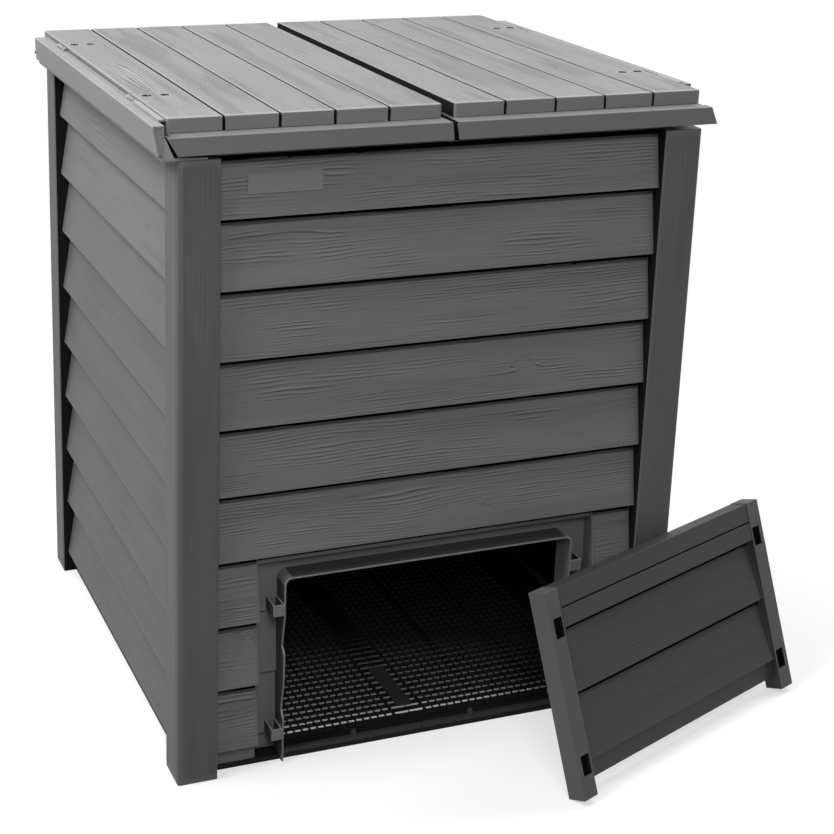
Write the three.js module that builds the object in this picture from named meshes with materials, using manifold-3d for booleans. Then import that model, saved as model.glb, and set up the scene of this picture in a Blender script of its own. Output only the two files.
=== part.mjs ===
// Compost bin with two hinged lids and a lift-off hatch. Millimetres, +Z up.
// The origin is the centre of the base, on the ground. The front faces -Y.
import * as THREE from "three";
import { mergeVertices } from "three/addons/utils/BufferGeometryUtils.js";
import Module from "manifold-3d";

const wasm = await Module();
wasm.setup();

// Shared values
const clearance = 0.3; // between pieces that touch
const overrun = 6; // how far a cutting solid runs past what it cuts
const bite = 1; // how far two solids of one moulding reach into each other
const inset = 0.5; // how far a face lies behind its neighbour where two solids of a moulding meet
const sheet = 3.5; // wall of the mouldings
const grain = 1 / 1024; // corners are kept on this grid, so that faces meant to be flush are
const arcSteps = 3;
const roundSteps = 12;

// The four walls: lapped boards between corner posts
const binWidth = 788; // over the posts, the same both ways
const postFace = 60;
const postWall = 4;
const postCap = 4;
const postCornerRadius = 4;
const postEdgeRadius = 1.5;
const boardPitch = 100;
const boardRows = 9;
const rowsPerPanel = 3;
const boardLean = 16.5; // how much further out a board's lower edge stands than its top
const boardRecess = 8; // the boards' lower edges lie this far behind the posts
const rimTrim = 14.5; // how much shorter than the others the top boards are
const lowestBoard = 37.5; // height of the lowest board's lower edge
const wallFoot = 8; // height of the walls' lower edge
const tongueLength = 11.7;
const tongueThickness = 4;
const endPlateDepth = 30;
const lipDrop = 10; // the lip that hangs behind the panel below

// The hatch panel: the lowest front one
const shortBoardEnd = 269; // half the width between the short boards
const recessDepth = 32; // the recessed sheet, behind the boards' lower edges
const recessLean = 6;
const recessReturnDepth = 44;
const headerHeight = 16;
const collarHalfWidth = 232;
const collarTop = 300;
const collarWall = 3;
const collarRadius = 12;
const collarBack = 46;
const collarFront = 2;
const collarStep = 10; // how far the collar's edge falls back under each board of the hatch
const collarFoot = 3;
const collarStepHeights = [241, 188, 178, 137, 84, 74];
const hookWidth = 17;
const hookHeight = 18;
const hookWall = 2.5;
const hookFront = 1;
const hookRims = [259, 58];

// The hatch
const hatchWidth = 518;
const hatchHeight = 304.6;
const hatchDepth = 30;
const hatchStile = 30;
const hatchFoot = 20; // the stiles reach this far below the panel between them
const hatchBand = 30;
const hatchGroove = 2;
const hatchGrooveDepth = 2.5;
const hatchRib = 28;
const hatchBoards = [96, 100];
const hatchBoardFront = 3;
const hatchBoardBack = 13;
const slotWidth = 17;
const slotHeight = 29;
const slotFromSide = 17.7;
const slotFromFoot = 48.3;
const hatchTurn = THREE.MathUtils.degToRad(21.5);
const hatchLean = THREE.MathUtils.degToRad(19);
const hatchPlace = 138; // x of its lower left front corner

// The lids, each a shallow tray of five boards
const lidRise = 51.5; // from the walls' rim up to the lids' top
const lidBoards = 5;
const lidBoardWidth = 78.5;
const lidHalfGap = 9;
const lidHalfDepth = 369;
const lidPlate = 5;
const lidWall = 4.5;
const lidLayer = 20; // height of the boards' edge above the ledge
const lidCornerRadius = 4;
const seamWidth = 3;
const seamDepth = 3;
const seamNotch = 2.5;
const ledgeThickness = 4;
const ledgeHalfGap = 4;
const ledgeHalfDepth = 397;
const lipHalfDepth = 404;
const lipHeight = 23.5;
const lipWall = 4;
const lipEndWide = { top: 406, foot: 412 }; // the lip's outer end, spreading downwards
const lipEndNarrow = { top: 408, foot: 395 }; // and drawing in downwards
const ledgeEndRun = 19;
const seatRibStart = 30;
const seatRibEnd = 340;
const lidRibWidth = 3;
const lidRibHeight = 13;
const lidCrossRibHeight = 10;
const lidCrossRibs = 3;
const lidCrossRibPitch = 120;

// The hinge rails on the left and right walls
const railDrop = 3.5; // how far the rails' top lies below the lids'
const railHeight = 40;
const railInner = 411;
const railOuterTop = 427;
const railOuterFoot = 420;
const railCoverReach = 7; // over the gap beside the lid
const railCoverRoom = 27; // kept free on each side of a hinge's middle
const railFlangeEnd = 352;
const railHookDrop = 12;
const railHookEnd = 330;
const railBevel = 1;
const railLeft = { front: 394, back: 324, slant: 26, closed: true };
const railRight = { front: 304, back: 318, slant: 0, closed: false };

// The hinges, two to each lid, and their screws
const hingeX = 406;
const hingePlace = 216;
const knuckleRadius = 4.3;
const knuckleWidth = 30;
const earWidth = 8;
const strapThickness = 3.3;
const strapStart = 350;
const pinRadius = 2.5;
const pinEnd = 1;
const screwPlaces = [360, 386];
const screwHeadRadius = 4;
const screwHeadHeight = 2;
const screwShankRadius = 2;
const counterboreRadius = 5.5;
const counterboreDepth = 3;

// The floor: two grating panels
const floorInset = 14; // the floor's edge, behind the boards' lower edges
const floorHeight = 7.7;
const sillTop = 14;
const sillThickness = 8;
const gratingInner = 20;
const gratingOuter = 330;
const gratingColumns = 3;
const gratingRows = 42;
const gratingPitch = 16;
const gratingBar = 5;
const floorTabReach = 12;
const floorTabHalf = 30;
const wedgePlaces = [-112, 81];
const wedgeFoot = 10;
const wedgeTip = 5;
const wedgeHeight = 11;
const wedgeThickness = 5;
const clipWidth = 25;
const clipLength = 122;
const clipThickness = 3;
const clipPlace = 243;

// Places that follow
const half = binWidth / 2;
const postHeight = lowestBoard + boardRows * boardPitch - rimTrim;
const tipPlane = half - boardRecess;
const floorHalf = tipPlane - floorInset;
const postSide = half - postFace;
const panelHalf = postSide - clearance;
const tongueBack = endPlateDepth - inset;
const tongueFront = tongueBack - tongueThickness;
const lidTop = postHeight + lidRise;
const ledgeTop = lidTop - lidLayer;
const lipFoot = ledgeTop - lipHeight;
const railTop = lidTop - railDrop;
const railFoot = railTop - railHeight;
const hingeZ = lidTop - knuckleRadius;
const lidOuter = lidHalfGap + lidBoards * lidBoardWidth;
const collarInner = collarHalfWidth - collarWall;

// Materials
const siding = material(0x5c5d5b, 0.62);
const post = material(0x4a4b4a, 0.6);
const lidSkin = material(0x6d6e6d, 0.6);
const hatchSkin = material(0x4e4f4e, 0.62);
const grating = material(0x262726, 0.7);
const steel = material(0x77797a, 0.4, 0.9);

function material(color, roughness, metalness = 0) {
  return new THREE.MeshStandardMaterial({ color, roughness, metalness });
}

// Solids

function toSolid(geometry) {
  geometry.deleteAttribute("normal");
  geometry.deleteAttribute("uv");
  const merged = mergeVertices(geometry);
  const vertProperties = merged.attributes.position.array.map((at) => Math.round(at / grain) * grain);
  const triVerts = new Uint32Array(merged.index.array);
  return new wasm.Manifold(new wasm.Mesh({ numProp: 3, vertProperties, triVerts }));
}

function toGeometry(solid) {
  const made = solid.getMesh();
  const geometry = new THREE.BufferGeometry();
  geometry.setAttribute("position", new THREE.BufferAttribute(made.vertProperties, 3));
  geometry.setIndex(new THREE.BufferAttribute(made.triVerts, 1));
  geometry.computeVertexNormals();
  return geometry;
}

function join(...solids) {
  return solids.reduce((all, one) => all.add(one));
}

function cut(solid, ...cutters) {
  return cutters.reduce((left, one) => left.subtract(one), solid);
}

function path(points) {
  return points.map(([a, b]) => new THREE.Vector2(a, b));
}

function anticlockwise(points) {
  const line = path(points);
  return THREE.ShapeUtils.isClockWise(line) ? line.reverse() : line;
}

function prism(outline, depth, holes = []) {
  const shape = new THREE.Shape(anticlockwise(outline));
  shape.holes = holes.map((hole) => new THREE.Path(anticlockwise(hole)));
  return new THREE.ExtrudeGeometry(shape, { depth, bevelEnabled: false });
}

const axisX = new THREE.Vector3(1, 0, 0);
const axisY = new THREE.Vector3(0, 1, 0);
const axisZ = new THREE.Vector3(0, 0, 1);

// An outline in (y, z), swept along x
function sweepX(outline, from, to) {
  const turned = new THREE.Matrix4().makeBasis(axisY, axisZ, axisX);
  return toSolid(prism(outline, to - from).applyMatrix4(turned).translate(from, 0, 0));
}

// An outline in (x, z), swept along y
function sweepY(outline, from, to, holes) {
  const turned = new THREE.Matrix4().makeBasis(axisX, axisZ, axisY.clone().negate());
  return toSolid(prism(outline, to - from, holes).applyMatrix4(turned).translate(0, to, 0));
}

// An outline in (x, y), swept along z
function sweepZ(outline, from, to, holes) {
  return toSolid(prism(outline, to - from, holes).translate(0, 0, from));
}

function block([x0, x1], [y0, y1], [z0, z1]) {
  const box = new THREE.BoxGeometry(Math.abs(x1 - x0), Math.abs(y1 - y0), Math.abs(z1 - z0));
  return toSolid(box.translate((x0 + x1) / 2, (y0 + y1) / 2, (z0 + z1) / 2));
}

function arc(x, y, radius, from, to, steps = arcSteps) {
  return Array.from({ length: steps + 1 }, (_, i) => {
    const angle = THREE.MathUtils.degToRad(from + ((to - from) * i) / steps);
    return [x + radius * Math.cos(angle), y + radius * Math.sin(angle)];
  });
}

function rectangle(x0, x1, y0, y1) {
  return [[x0, y0], [x1, y0], [x1, y1], [x0, y1]];
}

function mirrored(points, side) {
  return points.map(([a, b]) => [a * side, b]);
}

// Posts

// The front left post's section: a hollow L with a slot in each leg for a panel's tongue.
function postSection() {
  const slotLow = boardRecess + tongueFront - clearance;
  const slotHigh = boardRecess + tongueBack + clearance;
  const slotEnd = postFace - tongueLength - clearance;
  const leg = slotHigh + postWall;
  const place = ([u, v]) => [u - half, v - half];
  const outside = [
    ...arc(postCornerRadius, postCornerRadius, postCornerRadius, 180, 270),
    ...arc(postFace - postEdgeRadius, postEdgeRadius, postEdgeRadius, -90, 0),
    [postFace, slotLow],
    [slotEnd, slotLow],
    [slotEnd, slotHigh],
    [postFace, slotHigh],
    [postFace, leg],
    [leg, leg],
    [leg, postFace],
    [slotHigh, postFace],
    [slotHigh, slotEnd],
    [slotLow, slotEnd],
    [slotLow, postFace],
    ...arc(postEdgeRadius, postFace - postEdgeRadius, postEdgeRadius, 90, 180),
  ];
  const inside = [
    [postWall, postWall],
    [postFace - postWall, postWall],
    [postFace - postWall, slotLow - postWall],
    [slotEnd - postWall, slotLow - postWall],
    [slotEnd - postWall, leg - postWall],
    [leg - postWall, leg - postWall],
    [leg - postWall, slotEnd - postWall],
    [slotLow - postWall, slotEnd - postWall],
    [slotLow - postWall, postFace - postWall],
    [postWall, postFace - postWall],
  ];
  return { outside: outside.map(place), inside: inside.map(place) };
}

function cornerPost() {
  const { outside, inside } = postSection();
  const tube = sweepZ(outside, 0, postHeight);
  return cut(tube, sweepZ(inside, -overrun, postHeight - postCap));
}

// Wall panels. A wall is drawn as the front one, in (depth behind the boards' lower edges, height).

function boardFoot(row) {
  return lowestBoard + (boardRows - row) * boardPitch;
}

// The outer line of a panel's boards, from its lowest row up to its top.
function boardLine(lowRow, highRow, top, lean = boardLean, front = 0) {
  const line = [];
  for (let row = lowRow; row >= highRow; row -= 1) {
    const foot = boardFoot(row);
    const head = Math.min(foot + boardPitch, top);
    line.push([front, foot], [front + (lean * (head - foot)) / boardPitch, head]);
  }
  return line;
}

// The inner line of the same boards, from the top down.
function innerLine(lowRow, highRow, top, lean = boardLean, front = 0) {
  const line = [];
  for (let row = highRow; row <= lowRow; row += 1) {
    const foot = boardFoot(row);
    const head = Math.min(foot + boardPitch, top);
    const reach = front + (lean * (head - foot)) / boardPitch + sheet;
    line.push([reach, row === highRow ? top : head + sheet], [front + sheet, foot + sheet]);
  }
  return line;
}

function toWall(points) {
  return points.map(([depth, height]) => [depth - tipPlane, height]);
}

function wallSpan(points, from, to) {
  return sweepX(toWall(points), from, to);
}

// The outline of a panel filled out to a depth, and what is hollow behind its skin
function filledPanel(lowRow, highRow, top, depth) {
  const skirt = lowRow === boardRows ? [[boardLean, wallFoot]] : [];
  const bottom = lowRow === boardRows ? wallFoot : boardFoot(lowRow);
  return [...skirt, ...skirt.map(([d]) => [d, boardFoot(lowRow)]), ...boardLine(lowRow, highRow, top),
    [depth, top], [depth, bottom]];
}

function behindSkin(lowRow, highRow, top, closedTop) {
  const back = recessReturnDepth + overrun;
  const bottom = (lowRow === boardRows ? wallFoot : boardFoot(lowRow)) - overrun;
  const skin = innerLine(lowRow, highRow, top);
  const above = closedTop ? [] : [[skin[0][0], top + overrun]];
  const webBack = boardLean + sheet;
  return [
    ...above,
    ...skin,
    [webBack, boardFoot(lowRow) + sheet],
    [webBack, bottom],
    [back, bottom],
    [back, closedTop ? top : top + overrun],
  ];
}

function hangingLip(foot) {
  const front = boardLean + sheet + clearance;
  const outline = [
    [boardLean + bite, foot + inset],
    [front, foot + inset],
    [front, foot - lipDrop],
    [front + sheet, foot - lipDrop],
    [front + sheet, foot + sheet - inset],
    [boardLean + bite, foot + sheet - inset],
  ];
  const end = panelHalf - sheet - clearance;
  return wallSpan(outline, -end, end);
}

// The tongue slides down in the slot of a post's leg.
function tongue(side, bottom, top) {
  const span = [side * (panelHalf - sheet / 2), side * (postSide + tongueLength)];
  const depths = [tongueFront - tipPlane, tongueBack - tipPlane];
  return block(span, depths, [bottom + bite, top - bite]);
}

function wallPanel(lowRow, highRow) {
  const isTop = highRow === 1;
  const top = isTop ? postHeight : boardFoot(highRow) + boardPitch - clearance;
  const bottom = lowRow === boardRows ? wallFoot : boardFoot(lowRow);
  const filled = wallSpan(filledPanel(lowRow, highRow, top, endPlateDepth), -panelHalf, panelHalf);
  const between = panelHalf - sheet;
  const hollow = behindSkin(lowRow, highRow, isTop ? top - sheet : top, isTop);
  const skin = cut(filled, wallSpan(hollow, -between, between));
  const pieces = [skin, tongue(-1, bottom, top), tongue(1, bottom, top)];
  if (lowRow !== boardRows) pieces.push(hangingLip(boardFoot(lowRow)));
  return join(...pieces);
}

// Hatch panel

// The collar's outline in (x, z): an arch open at its foot.
function collarArch(halfWidth, top, radius, foot) {
  return [
    [halfWidth, foot],
    ...arc(halfWidth - radius, top - radius, radius, 0, 90),
    ...arc(radius - halfWidth, top - radius, radius, 90, 180),
    [-halfWidth, foot],
  ];
}

// The collar's front edge follows the back of the hatch's lapped boards.
function collarEdgeCutter() {
  const fallsShare = [0, 1, 0, 0, 1, 0];
  const edge = collarStepHeights.map((z, i) => [collarFront + fallsShare[i] * collarStep, z]);
  const outline = [
    [-collarBack, collarTop + overrun],
    [collarFront, collarTop + overrun],
    ...edge,
    [collarFront, -overrun],
    [-collarBack, -overrun],
  ];
  return wallSpan(outline, -collarHalfWidth - overrun, collarHalfWidth + overrun);
}

function collar() {
  const span = [collarFront - tipPlane, collarBack - tipPlane];
  const arch = collarArch(collarHalfWidth, collarTop, collarRadius, collarFoot);
  return cut(sweepY(arch, ...span), collarEdgeCutter());
}

function hatchOpening() {
  const radius = collarRadius - collarWall;
  const arch = collarArch(collarInner, collarTop - collarWall, radius, -overrun);
  return sweepY(arch, -tipPlane - overrun, recessReturnDepth + overrun - tipPlane);
}

// An open-topped pocket on the collar's side, for one of the hatch's slots.
function pocketHook(side, rim) {
  const near = collarHalfWidth;
  const across = [side * (near - collarWall / 2), side * (near + hookWidth)];
  const span = [hookFront - tipPlane, recessDepth + sheet - tipPlane];
  const hollowAcross = [side * (near + hookWall), side * (near + hookWidth - hookWall)];
  const hollowSpan = [span[0] + hookWall, recessDepth - tipPlane];
  const body = block(across, span, [rim - hookHeight, rim]);
  return cut(body, block(hollowAcross, hollowSpan, [rim - hookHeight + hookWall, rim + overrun]));
}

function recessedSheet() {
  const top = boardFoot(boardRows - rowsPerPanel) - headerHeight;
  const line = (make) => make(boardRows, boardRows - rowsPerPanel + 1, top, recessLean, recessDepth);
  const front = recessDepth + recessLean;
  const foot = wallFoot + bite;
  const outline = [
    [front, foot],
    [front, lowestBoard],
    ...line(boardLine),
    ...line(innerLine),
    [front + sheet, lowestBoard + sheet],
    [front + sheet, foot],
  ];
  const end = shortBoardEnd + sheet / 2;
  return wallSpan(outline, -end, end);
}

function recessHeader() {
  const top = boardFoot(boardRows - rowsPerPanel) - clearance - inset;
  const low = top - headerHeight;
  const front = boardLean + bite;
  const outline = [
    [front, top],
    [front, low],
    [recessReturnDepth - inset, low],
    [recessReturnDepth - inset, low + sheet],
    [front + sheet, low + sheet],
    [front + sheet, top],
  ];
  const end = shortBoardEnd + sheet / 2;
  return wallSpan(outline, -end, end);
}

function shortBoards(side) {
  const lowRow = boardRows;
  const highRow = boardRows - rowsPerPanel + 1;
  const top = boardFoot(highRow) + boardPitch - clearance;
  const across = (near, far) => [side * near, side * far].sort((a, b) => a - b);
  const outline = filledPanel(lowRow, highRow, top, recessReturnDepth);
  const filled = wallSpan(outline, ...across(shortBoardEnd, panelHalf));
  const hollow = behindSkin(lowRow, highRow, top, false);
  const between = across(shortBoardEnd + sheet, panelHalf - sheet);
  return join(cut(filled, wallSpan(hollow, ...between)), tongue(side, wallFoot, top));
}

// Room for the lip that hangs from the panel above
function lipRoom() {
  const foot = boardFoot(boardRows - rowsPerPanel);
  const end = panelHalf - sheet - clearance / 2;
  const low = foot - lipDrop - clearance;
  const front = boardLean + sheet + clearance / 2;
  return wallSpan(rectangle(front, recessReturnDepth + overrun, low, foot + overrun), -end, end);
}

function hatchPanel() {
  const hooks = [-1, 1].flatMap((side) => hookRims.map((rim) => pocketHook(side, rim)));
  const floorSide = tipPlane - floorHalf - clearance;
  const wide = [-collarHalfWidth - overrun, collarHalfWidth + overrun];
  const underCollar = block(wide, [floorSide - tipPlane, collarBack + overrun - tipPlane], [0, wallFoot]);
  const walls = join(recessedSheet(), recessHeader(), shortBoards(-1), shortBoards(1));
  return cut(join(walls, collar(), ...hooks), hatchOpening(), underCollar, lipRoom());
}

// Hatch, in (x, y, z) from its lower left front corner, its back towards +Y

// The front face between the stiles, in (depth, height): bands, a groove and lapped boards.
function hatchFace() {
  const front = inset;
  const back = hatchDepth - inset;
  const top = hatchHeight - inset;
  const bandFoot = hatchHeight - hatchBand;
  const ribFoot = bandFoot - hatchGroove / 2 - hatchRib;
  const firstFoot = ribFoot - hatchBoards[0];
  const secondFoot = firstFoot - hatchBoards[1];
  const backs = hatchBoardBack + sheet;
  const fronts = hatchBoardFront + sheet;
  return [
    [front, top],
    [front, bandFoot + hatchGroove / 2],
    [hatchGrooveDepth, bandFoot + hatchGroove / 2],
    [hatchGrooveDepth, bandFoot - hatchGroove / 2],
    [front, bandFoot - hatchGroove / 2],
    [front, ribFoot],
    [hatchBoardBack, ribFoot],
    [hatchBoardFront, firstFoot],
    [hatchBoardBack, firstFoot],
    [hatchBoardFront, secondFoot],
    [hatchBoardBack, secondFoot],
    [hatchBoardBack, hatchFoot],
    [back, hatchFoot],
    [back, hatchFoot + sheet],
    [backs, hatchFoot + sheet],
    [backs, secondFoot + sheet],
    [fronts, secondFoot + sheet],
    [backs, firstFoot + sheet],
    [fronts, firstFoot + sheet],
    [backs, ribFoot + sheet],
    [hatchGrooveDepth + sheet, ribFoot + sheet],
    [hatchGrooveDepth + sheet, top - sheet],
    [back, top - sheet],
    [back, top],
  ];
}

function hatchStileTray(x) {
  const tray = block([x, x + hatchStile], [0, hatchDepth], [0, hatchHeight]);
  const across = [x + sheet, x + hatchStile - sheet];
  return cut(tray, block(across, [sheet, hatchDepth + overrun], [sheet, hatchHeight - sheet]));
}

function hatchSlots() {
  const heights = hookRims.map((rim) => slotFromFoot + rim - Math.min(...hookRims));
  return [slotFromSide, hatchWidth - slotFromSide].flatMap((x) =>
    heights.map((z) =>
      block(
        [x - slotWidth / 2, x + slotWidth / 2],
        [-overrun, sheet + bite],
        [z - slotHeight / 2, z + slotHeight / 2],
      ),
    ),
  );
}

function hatch() {
  const right = hatchWidth - hatchStile;
  const face = sweepX(hatchFace(), hatchStile - bite, right + bite);
  return cut(join(hatchStileTray(0), hatchStileTray(right), face), ...hatchSlots());
}

// Where the hatch stands: its foot on the ground and the back of its top edge at the front right post.
function hatchStand() {
  const back = new THREE.Vector2(-Math.sin(hatchTurn), Math.cos(hatchTurn));
  const arcCentre = half - postCornerRadius;
  const reach = hatchHeight * Math.sin(hatchLean) + hatchDepth * Math.cos(hatchLean);
  const postAlong = back.x * arcCentre - back.y * arcCentre - postCornerRadius;
  const y = (postAlong - reach - clearance - back.x * hatchPlace) / back.y;
  return [hatchPlace, y, hatchDepth * Math.sin(hatchLean)];
}

// Lids. Each is drawn on the right, and side -1 mirrors it to the left.

function lidShell(side) {
  const r = lidCornerRadius;
  const outline = [
    ...arc(lidOuter - r, r - lidHalfDepth, r, -90, 0),
    ...arc(lidOuter - r, lidHalfDepth - r, r, 0, 90),
    ...arc(lidHalfGap + r, lidHalfDepth - r, r, 90, 180),
    ...arc(lidHalfGap + r, r - lidHalfDepth, r, 180, 270),
  ];
  return sweepZ(mirrored(outline, side), ledgeTop - ledgeThickness / 2, lidTop);
}

// The ends of the front and back lips: the lids are one moulding, turned half round.
function lipEnds(side) {
  const turned = [lipEndWide, lipEndNarrow];
  return side > 0 ? turned : turned.toReversed();
}

// The ledge round the boards with its sloped lips, before its outer end is shaped
function lidApron(side) {
  const facing = [
    [ledgeHalfDepth, ledgeTop],
    [lipHalfDepth, lipFoot],
    [lipHalfDepth - lipWall, lipFoot],
    [ledgeHalfDepth - lipWall, ledgeTop - ledgeThickness],
  ];
  const outline = [...facing, ...mirrored(facing, -1).toReversed()];
  const reach = Math.max(lipEndWide.foot, lipEndNarrow.top) + bite;
  return sweepX(outline, ...[side * ledgeHalfGap, side * reach].sort((a, b) => a - b));
}

// What is cut off the apron's outer end: facing is -1 at the front and 1 at the back.
function apronEndCutter(side, facing, end) {
  const slopeShare = (end.foot - end.top) / (ledgeTop - lipFoot);
  const at = (z) => end.top + (ledgeTop - z) * slopeShare;
  const high = ledgeTop + overrun;
  const low = lipFoot - overrun;
  const far = railOuterFoot;
  const outline = [[at(high), high], [far, high], [far, low], [at(low), low]];
  const span = [facing * (ledgeHalfDepth - ledgeEndRun), facing * (lipHalfDepth + overrun)];
  return sweepY(mirrored(outline, side), ...span.sort((a, b) => a - b));
}

function apronSideCutter(side) {
  const reach = ledgeHalfDepth - ledgeEndRun + bite;
  return block([side * (lidOuter - inset), side * railOuterFoot], [-reach, reach], [lipFoot, ledgeTop + bite]);
}

function lidHollow(side) {
  const across = [side * (lidHalfGap + lidWall), side * (lidOuter - lidWall)];
  const reach = lidHalfDepth - lidWall;
  return block(across, [-reach, reach], [ledgeTop - ledgeThickness - overrun, lidTop - lidPlate]);
}

function lidCentreEdge(side) {
  const high = ledgeTop - ledgeThickness / 2;
  const reach = ledgeHalfDepth - inset;
  const outline = [[-reach, high], [-reach, lipFoot + bite], [reach, lipFoot + bite], [reach, high]];
  const ends = [side * (ledgeHalfGap + inset), side * (ledgeHalfGap + lipWall)];
  return sweepX(outline, ...ends.sort((a, b) => a - b));
}

function seamPlaces() {
  return Array.from({ length: lidBoards - 1 }, (_, i) => lidHalfGap + lidBoardWidth * (i + 1));
}

function lidRibs(side) {
  const reach = lidHalfDepth - lidWall + bite;
  const top = lidTop - lidPlate + bite;
  const wide = (at) => [at - lidRibWidth / 2, at + lidRibWidth / 2];
  const along = seamPlaces().map((x) => block(wide(side * x), [-reach, reach], [top - lidRibHeight, top]));
  const inner = [side * (lidHalfGap + lidWall - bite), side * (lidOuter - lidWall + bite)];
  const across = Array.from({ length: lidCrossRibs }, (_, i) => {
    const y = (i - (lidCrossRibs - 1) / 2) * lidCrossRibPitch;
    return block(inner, wide(y), [top - lidCrossRibHeight, top - inset]);
  });
  return [...along, ...across];
}

// Ribs under the lid's front and back that land on the walls' rims.
function seatRibs(side) {
  const across = [side * seatRibStart, side * seatRibEnd];
  const tall = [postHeight + clearance, ledgeTop - bite];
  return [-1, 1].map((facing) =>
    block(across, [facing * (lidHalfDepth - inset), facing * (lidHalfDepth - lidWall + inset)], tall),
  );
}

function lidSeams(side) {
  return seamPlaces().flatMap((x) => {
    const wide = (width) => [side * x - width / 2, side * x + width / 2];
    const reach = lidHalfDepth + overrun;
    const notch = (facing) => [facing * (lidHalfDepth - seamNotch), facing * reach];
    const tall = [ledgeTop + bite, lidTop + overrun];
    return [
      block(wide(seamWidth), [-reach, reach], [lidTop - seamDepth, lidTop + overrun]),
      block(wide(seamWidth - inset), notch(-1), tall),
      block(wide(seamWidth - inset), notch(1), tall),
    ];
  });
}

function rod(radius, x, y, from, to) {
  return sweepZ(arc(x, y, radius, 0, 360 - 360 / roundSteps, roundSteps - 1), from, to);
}

function screwHoles(side) {
  return [-hingePlace, hingePlace].flatMap((y) =>
    screwPlaces.flatMap((x) => [
      rod(counterboreRadius, side * x, y, lidTop - counterboreDepth, lidTop + overrun),
      rod(screwShankRadius + clearance, side * x, y, lidTop - lidPlate - overrun, lidTop),
    ]),
  );
}

function strapNotches(side) {
  const reach = knuckleWidth / 2 + clearance;
  const across = [side * (lidOuter - lidWall - bite), side * (lidOuter + overrun)];
  return [-hingePlace, hingePlace].map((y) =>
    block(across, [y - reach, y + reach], [ledgeTop - ledgeThickness - overrun, lidTop - lidPlate]),
  );
}

function lid(side) {
  const [front, back] = lipEnds(side);
  const ends = [apronEndCutter(side, -1, front), apronEndCutter(side, 1, back), apronSideCutter(side)];
  const apron = cut(lidApron(side), ...ends);
  const tray = cut(join(lidShell(side), apron), lidHollow(side));
  const solid = join(tray, lidCentreEdge(side), ...lidRibs(side), ...seatRibs(side));
  return cut(solid, ...lidSeams(side), ...screwHoles(side), ...strapNotches(side));
}

// Hinge rails

function railSection() {
  const inner = railInner + sheet;
  const flangeFoot = postHeight + clearance;
  return [
    [railOuterFoot, railFoot],
    [railOuterTop, railTop - railBevel],
    [railOuterTop - railBevel, railTop],
    [railInner, railTop],
    [railInner, flangeFoot + sheet],
    [railFlangeEnd, flangeFoot + sheet],
    [railFlangeEnd, flangeFoot],
    [inner, flangeFoot],
    [inner, railTop - sheet],
    [railOuterTop - sheet, railTop - sheet],
    [railOuterFoot - sheet, railFoot],
  ];
}

// The rail's hook hangs behind the wall's rim.
function railHook(side, { front, back }) {
  const across = [side * (railFlangeEnd + inset), side * (tipPlane - endPlateDepth - clearance)];
  const ends = [-Math.min(front, railHookEnd) + bite, Math.min(back, railHookEnd) - bite];
  const flangeFoot = postHeight + clearance;
  return block(across, ends, [flangeFoot - railHookDrop, flangeFoot + sheet / 2]);
}

// The ears hold the hinge pin on each side of a knuckle.
function railEars(side) {
  const outline = [
    ...arc(hingeX, hingeZ, knuckleRadius, 90, 270, roundSteps / 2),
    [railInner + bite, hingeZ - knuckleRadius],
    [railInner + bite, railTop - railBevel],
  ];
  const hole = arc(hingeX, hingeZ, pinRadius + clearance, 0, 360 - 360 / roundSteps, roundSteps - 1);
  const near = knuckleWidth / 2 + clearance;
  return [-hingePlace, hingePlace].flatMap((y) =>
    [[y - near - earWidth, y - near], [y + near, y + near + earWidth]].map((ends) =>
      sweepY(mirrored(outline, side), ...ends, [mirrored(hole, side)]),
    ),
  );
}

function railEndCutter(side, { back, slant }) {
  const slopeShare = slant / (railTop - railFoot);
  const at = (z) => back + (railTop - z) * slopeShare;
  const low = railFoot - overrun - railHookDrop;
  const high = railTop + overrun;
  const far = back + slant + 2 * overrun;
  const outline = [[at(high), high], [at(low), low], [far, low], [far, high]];
  const ends = [side * (railFlangeEnd - overrun), side * (railOuterTop + overrun)];
  return sweepX(outline, ...ends.sort((a, b) => a - b));
}

function railFrontWall(side, { front }) {
  const high = railTop - inset;
  const low = railFoot + bite;
  const inner = railInner + inset;
  const outline = [[railOuterFoot - bite, low], [railOuterTop - bite, high], [inner, high], [inner, low]];
  return sweepY(mirrored(outline, side), inset - front, sheet - front);
}

// Strips that cover the gap beside the lid, from the front hinge to the rail's back
function railCovers(side, { back }) {
  const across = [side * (railInner - railCoverReach), side * (railInner + bite)];
  const tall = [railTop - sheet + inset, railTop - inset];
  const spans = [
    [railCoverRoom - hingePlace, hingePlace - railCoverRoom],
    [hingePlace + railCoverRoom, back - bite],
  ];
  return spans.map((along) => block(across, along, tall));
}

function rail(side, reach) {
  const far = reach.back + reach.slant + overrun;
  const bar = sweepY(mirrored(railSection(), side), -reach.front, far);
  const ends = reach.closed ? [railFrontWall(side, reach)] : [];
  const body = cut(join(bar, ...ends), railEndCutter(side, reach));
  return join(body, railHook(side, reach), ...railCovers(side, reach), ...railEars(side));
}

// Hinges

function hingeStrap(side, y) {
  const low = hingeZ - knuckleRadius;
  const high = low + strapThickness;
  const meets = THREE.MathUtils.radToDeg(Math.asin((high - hingeZ) / knuckleRadius));
  const outline = [
    [strapStart, low],
    ...arc(hingeX, hingeZ, knuckleRadius, -90, 180 - meets, roundSteps),
    [strapStart, high],
  ];
  const hole = arc(hingeX, hingeZ, pinRadius + clearance, 0, 360 - 360 / roundSteps, roundSteps - 1);
  const ends = [y - knuckleWidth / 2, y + knuckleWidth / 2];
  const strap = sweepY(mirrored(outline, side), ...ends, [mirrored(hole, side)]);
  const bores = screwPlaces.map((x) =>
    rod(screwShankRadius + clearance, side * x, y, low - overrun, high + overrun),
  );
  return cut(strap, ...bores);
}

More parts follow.
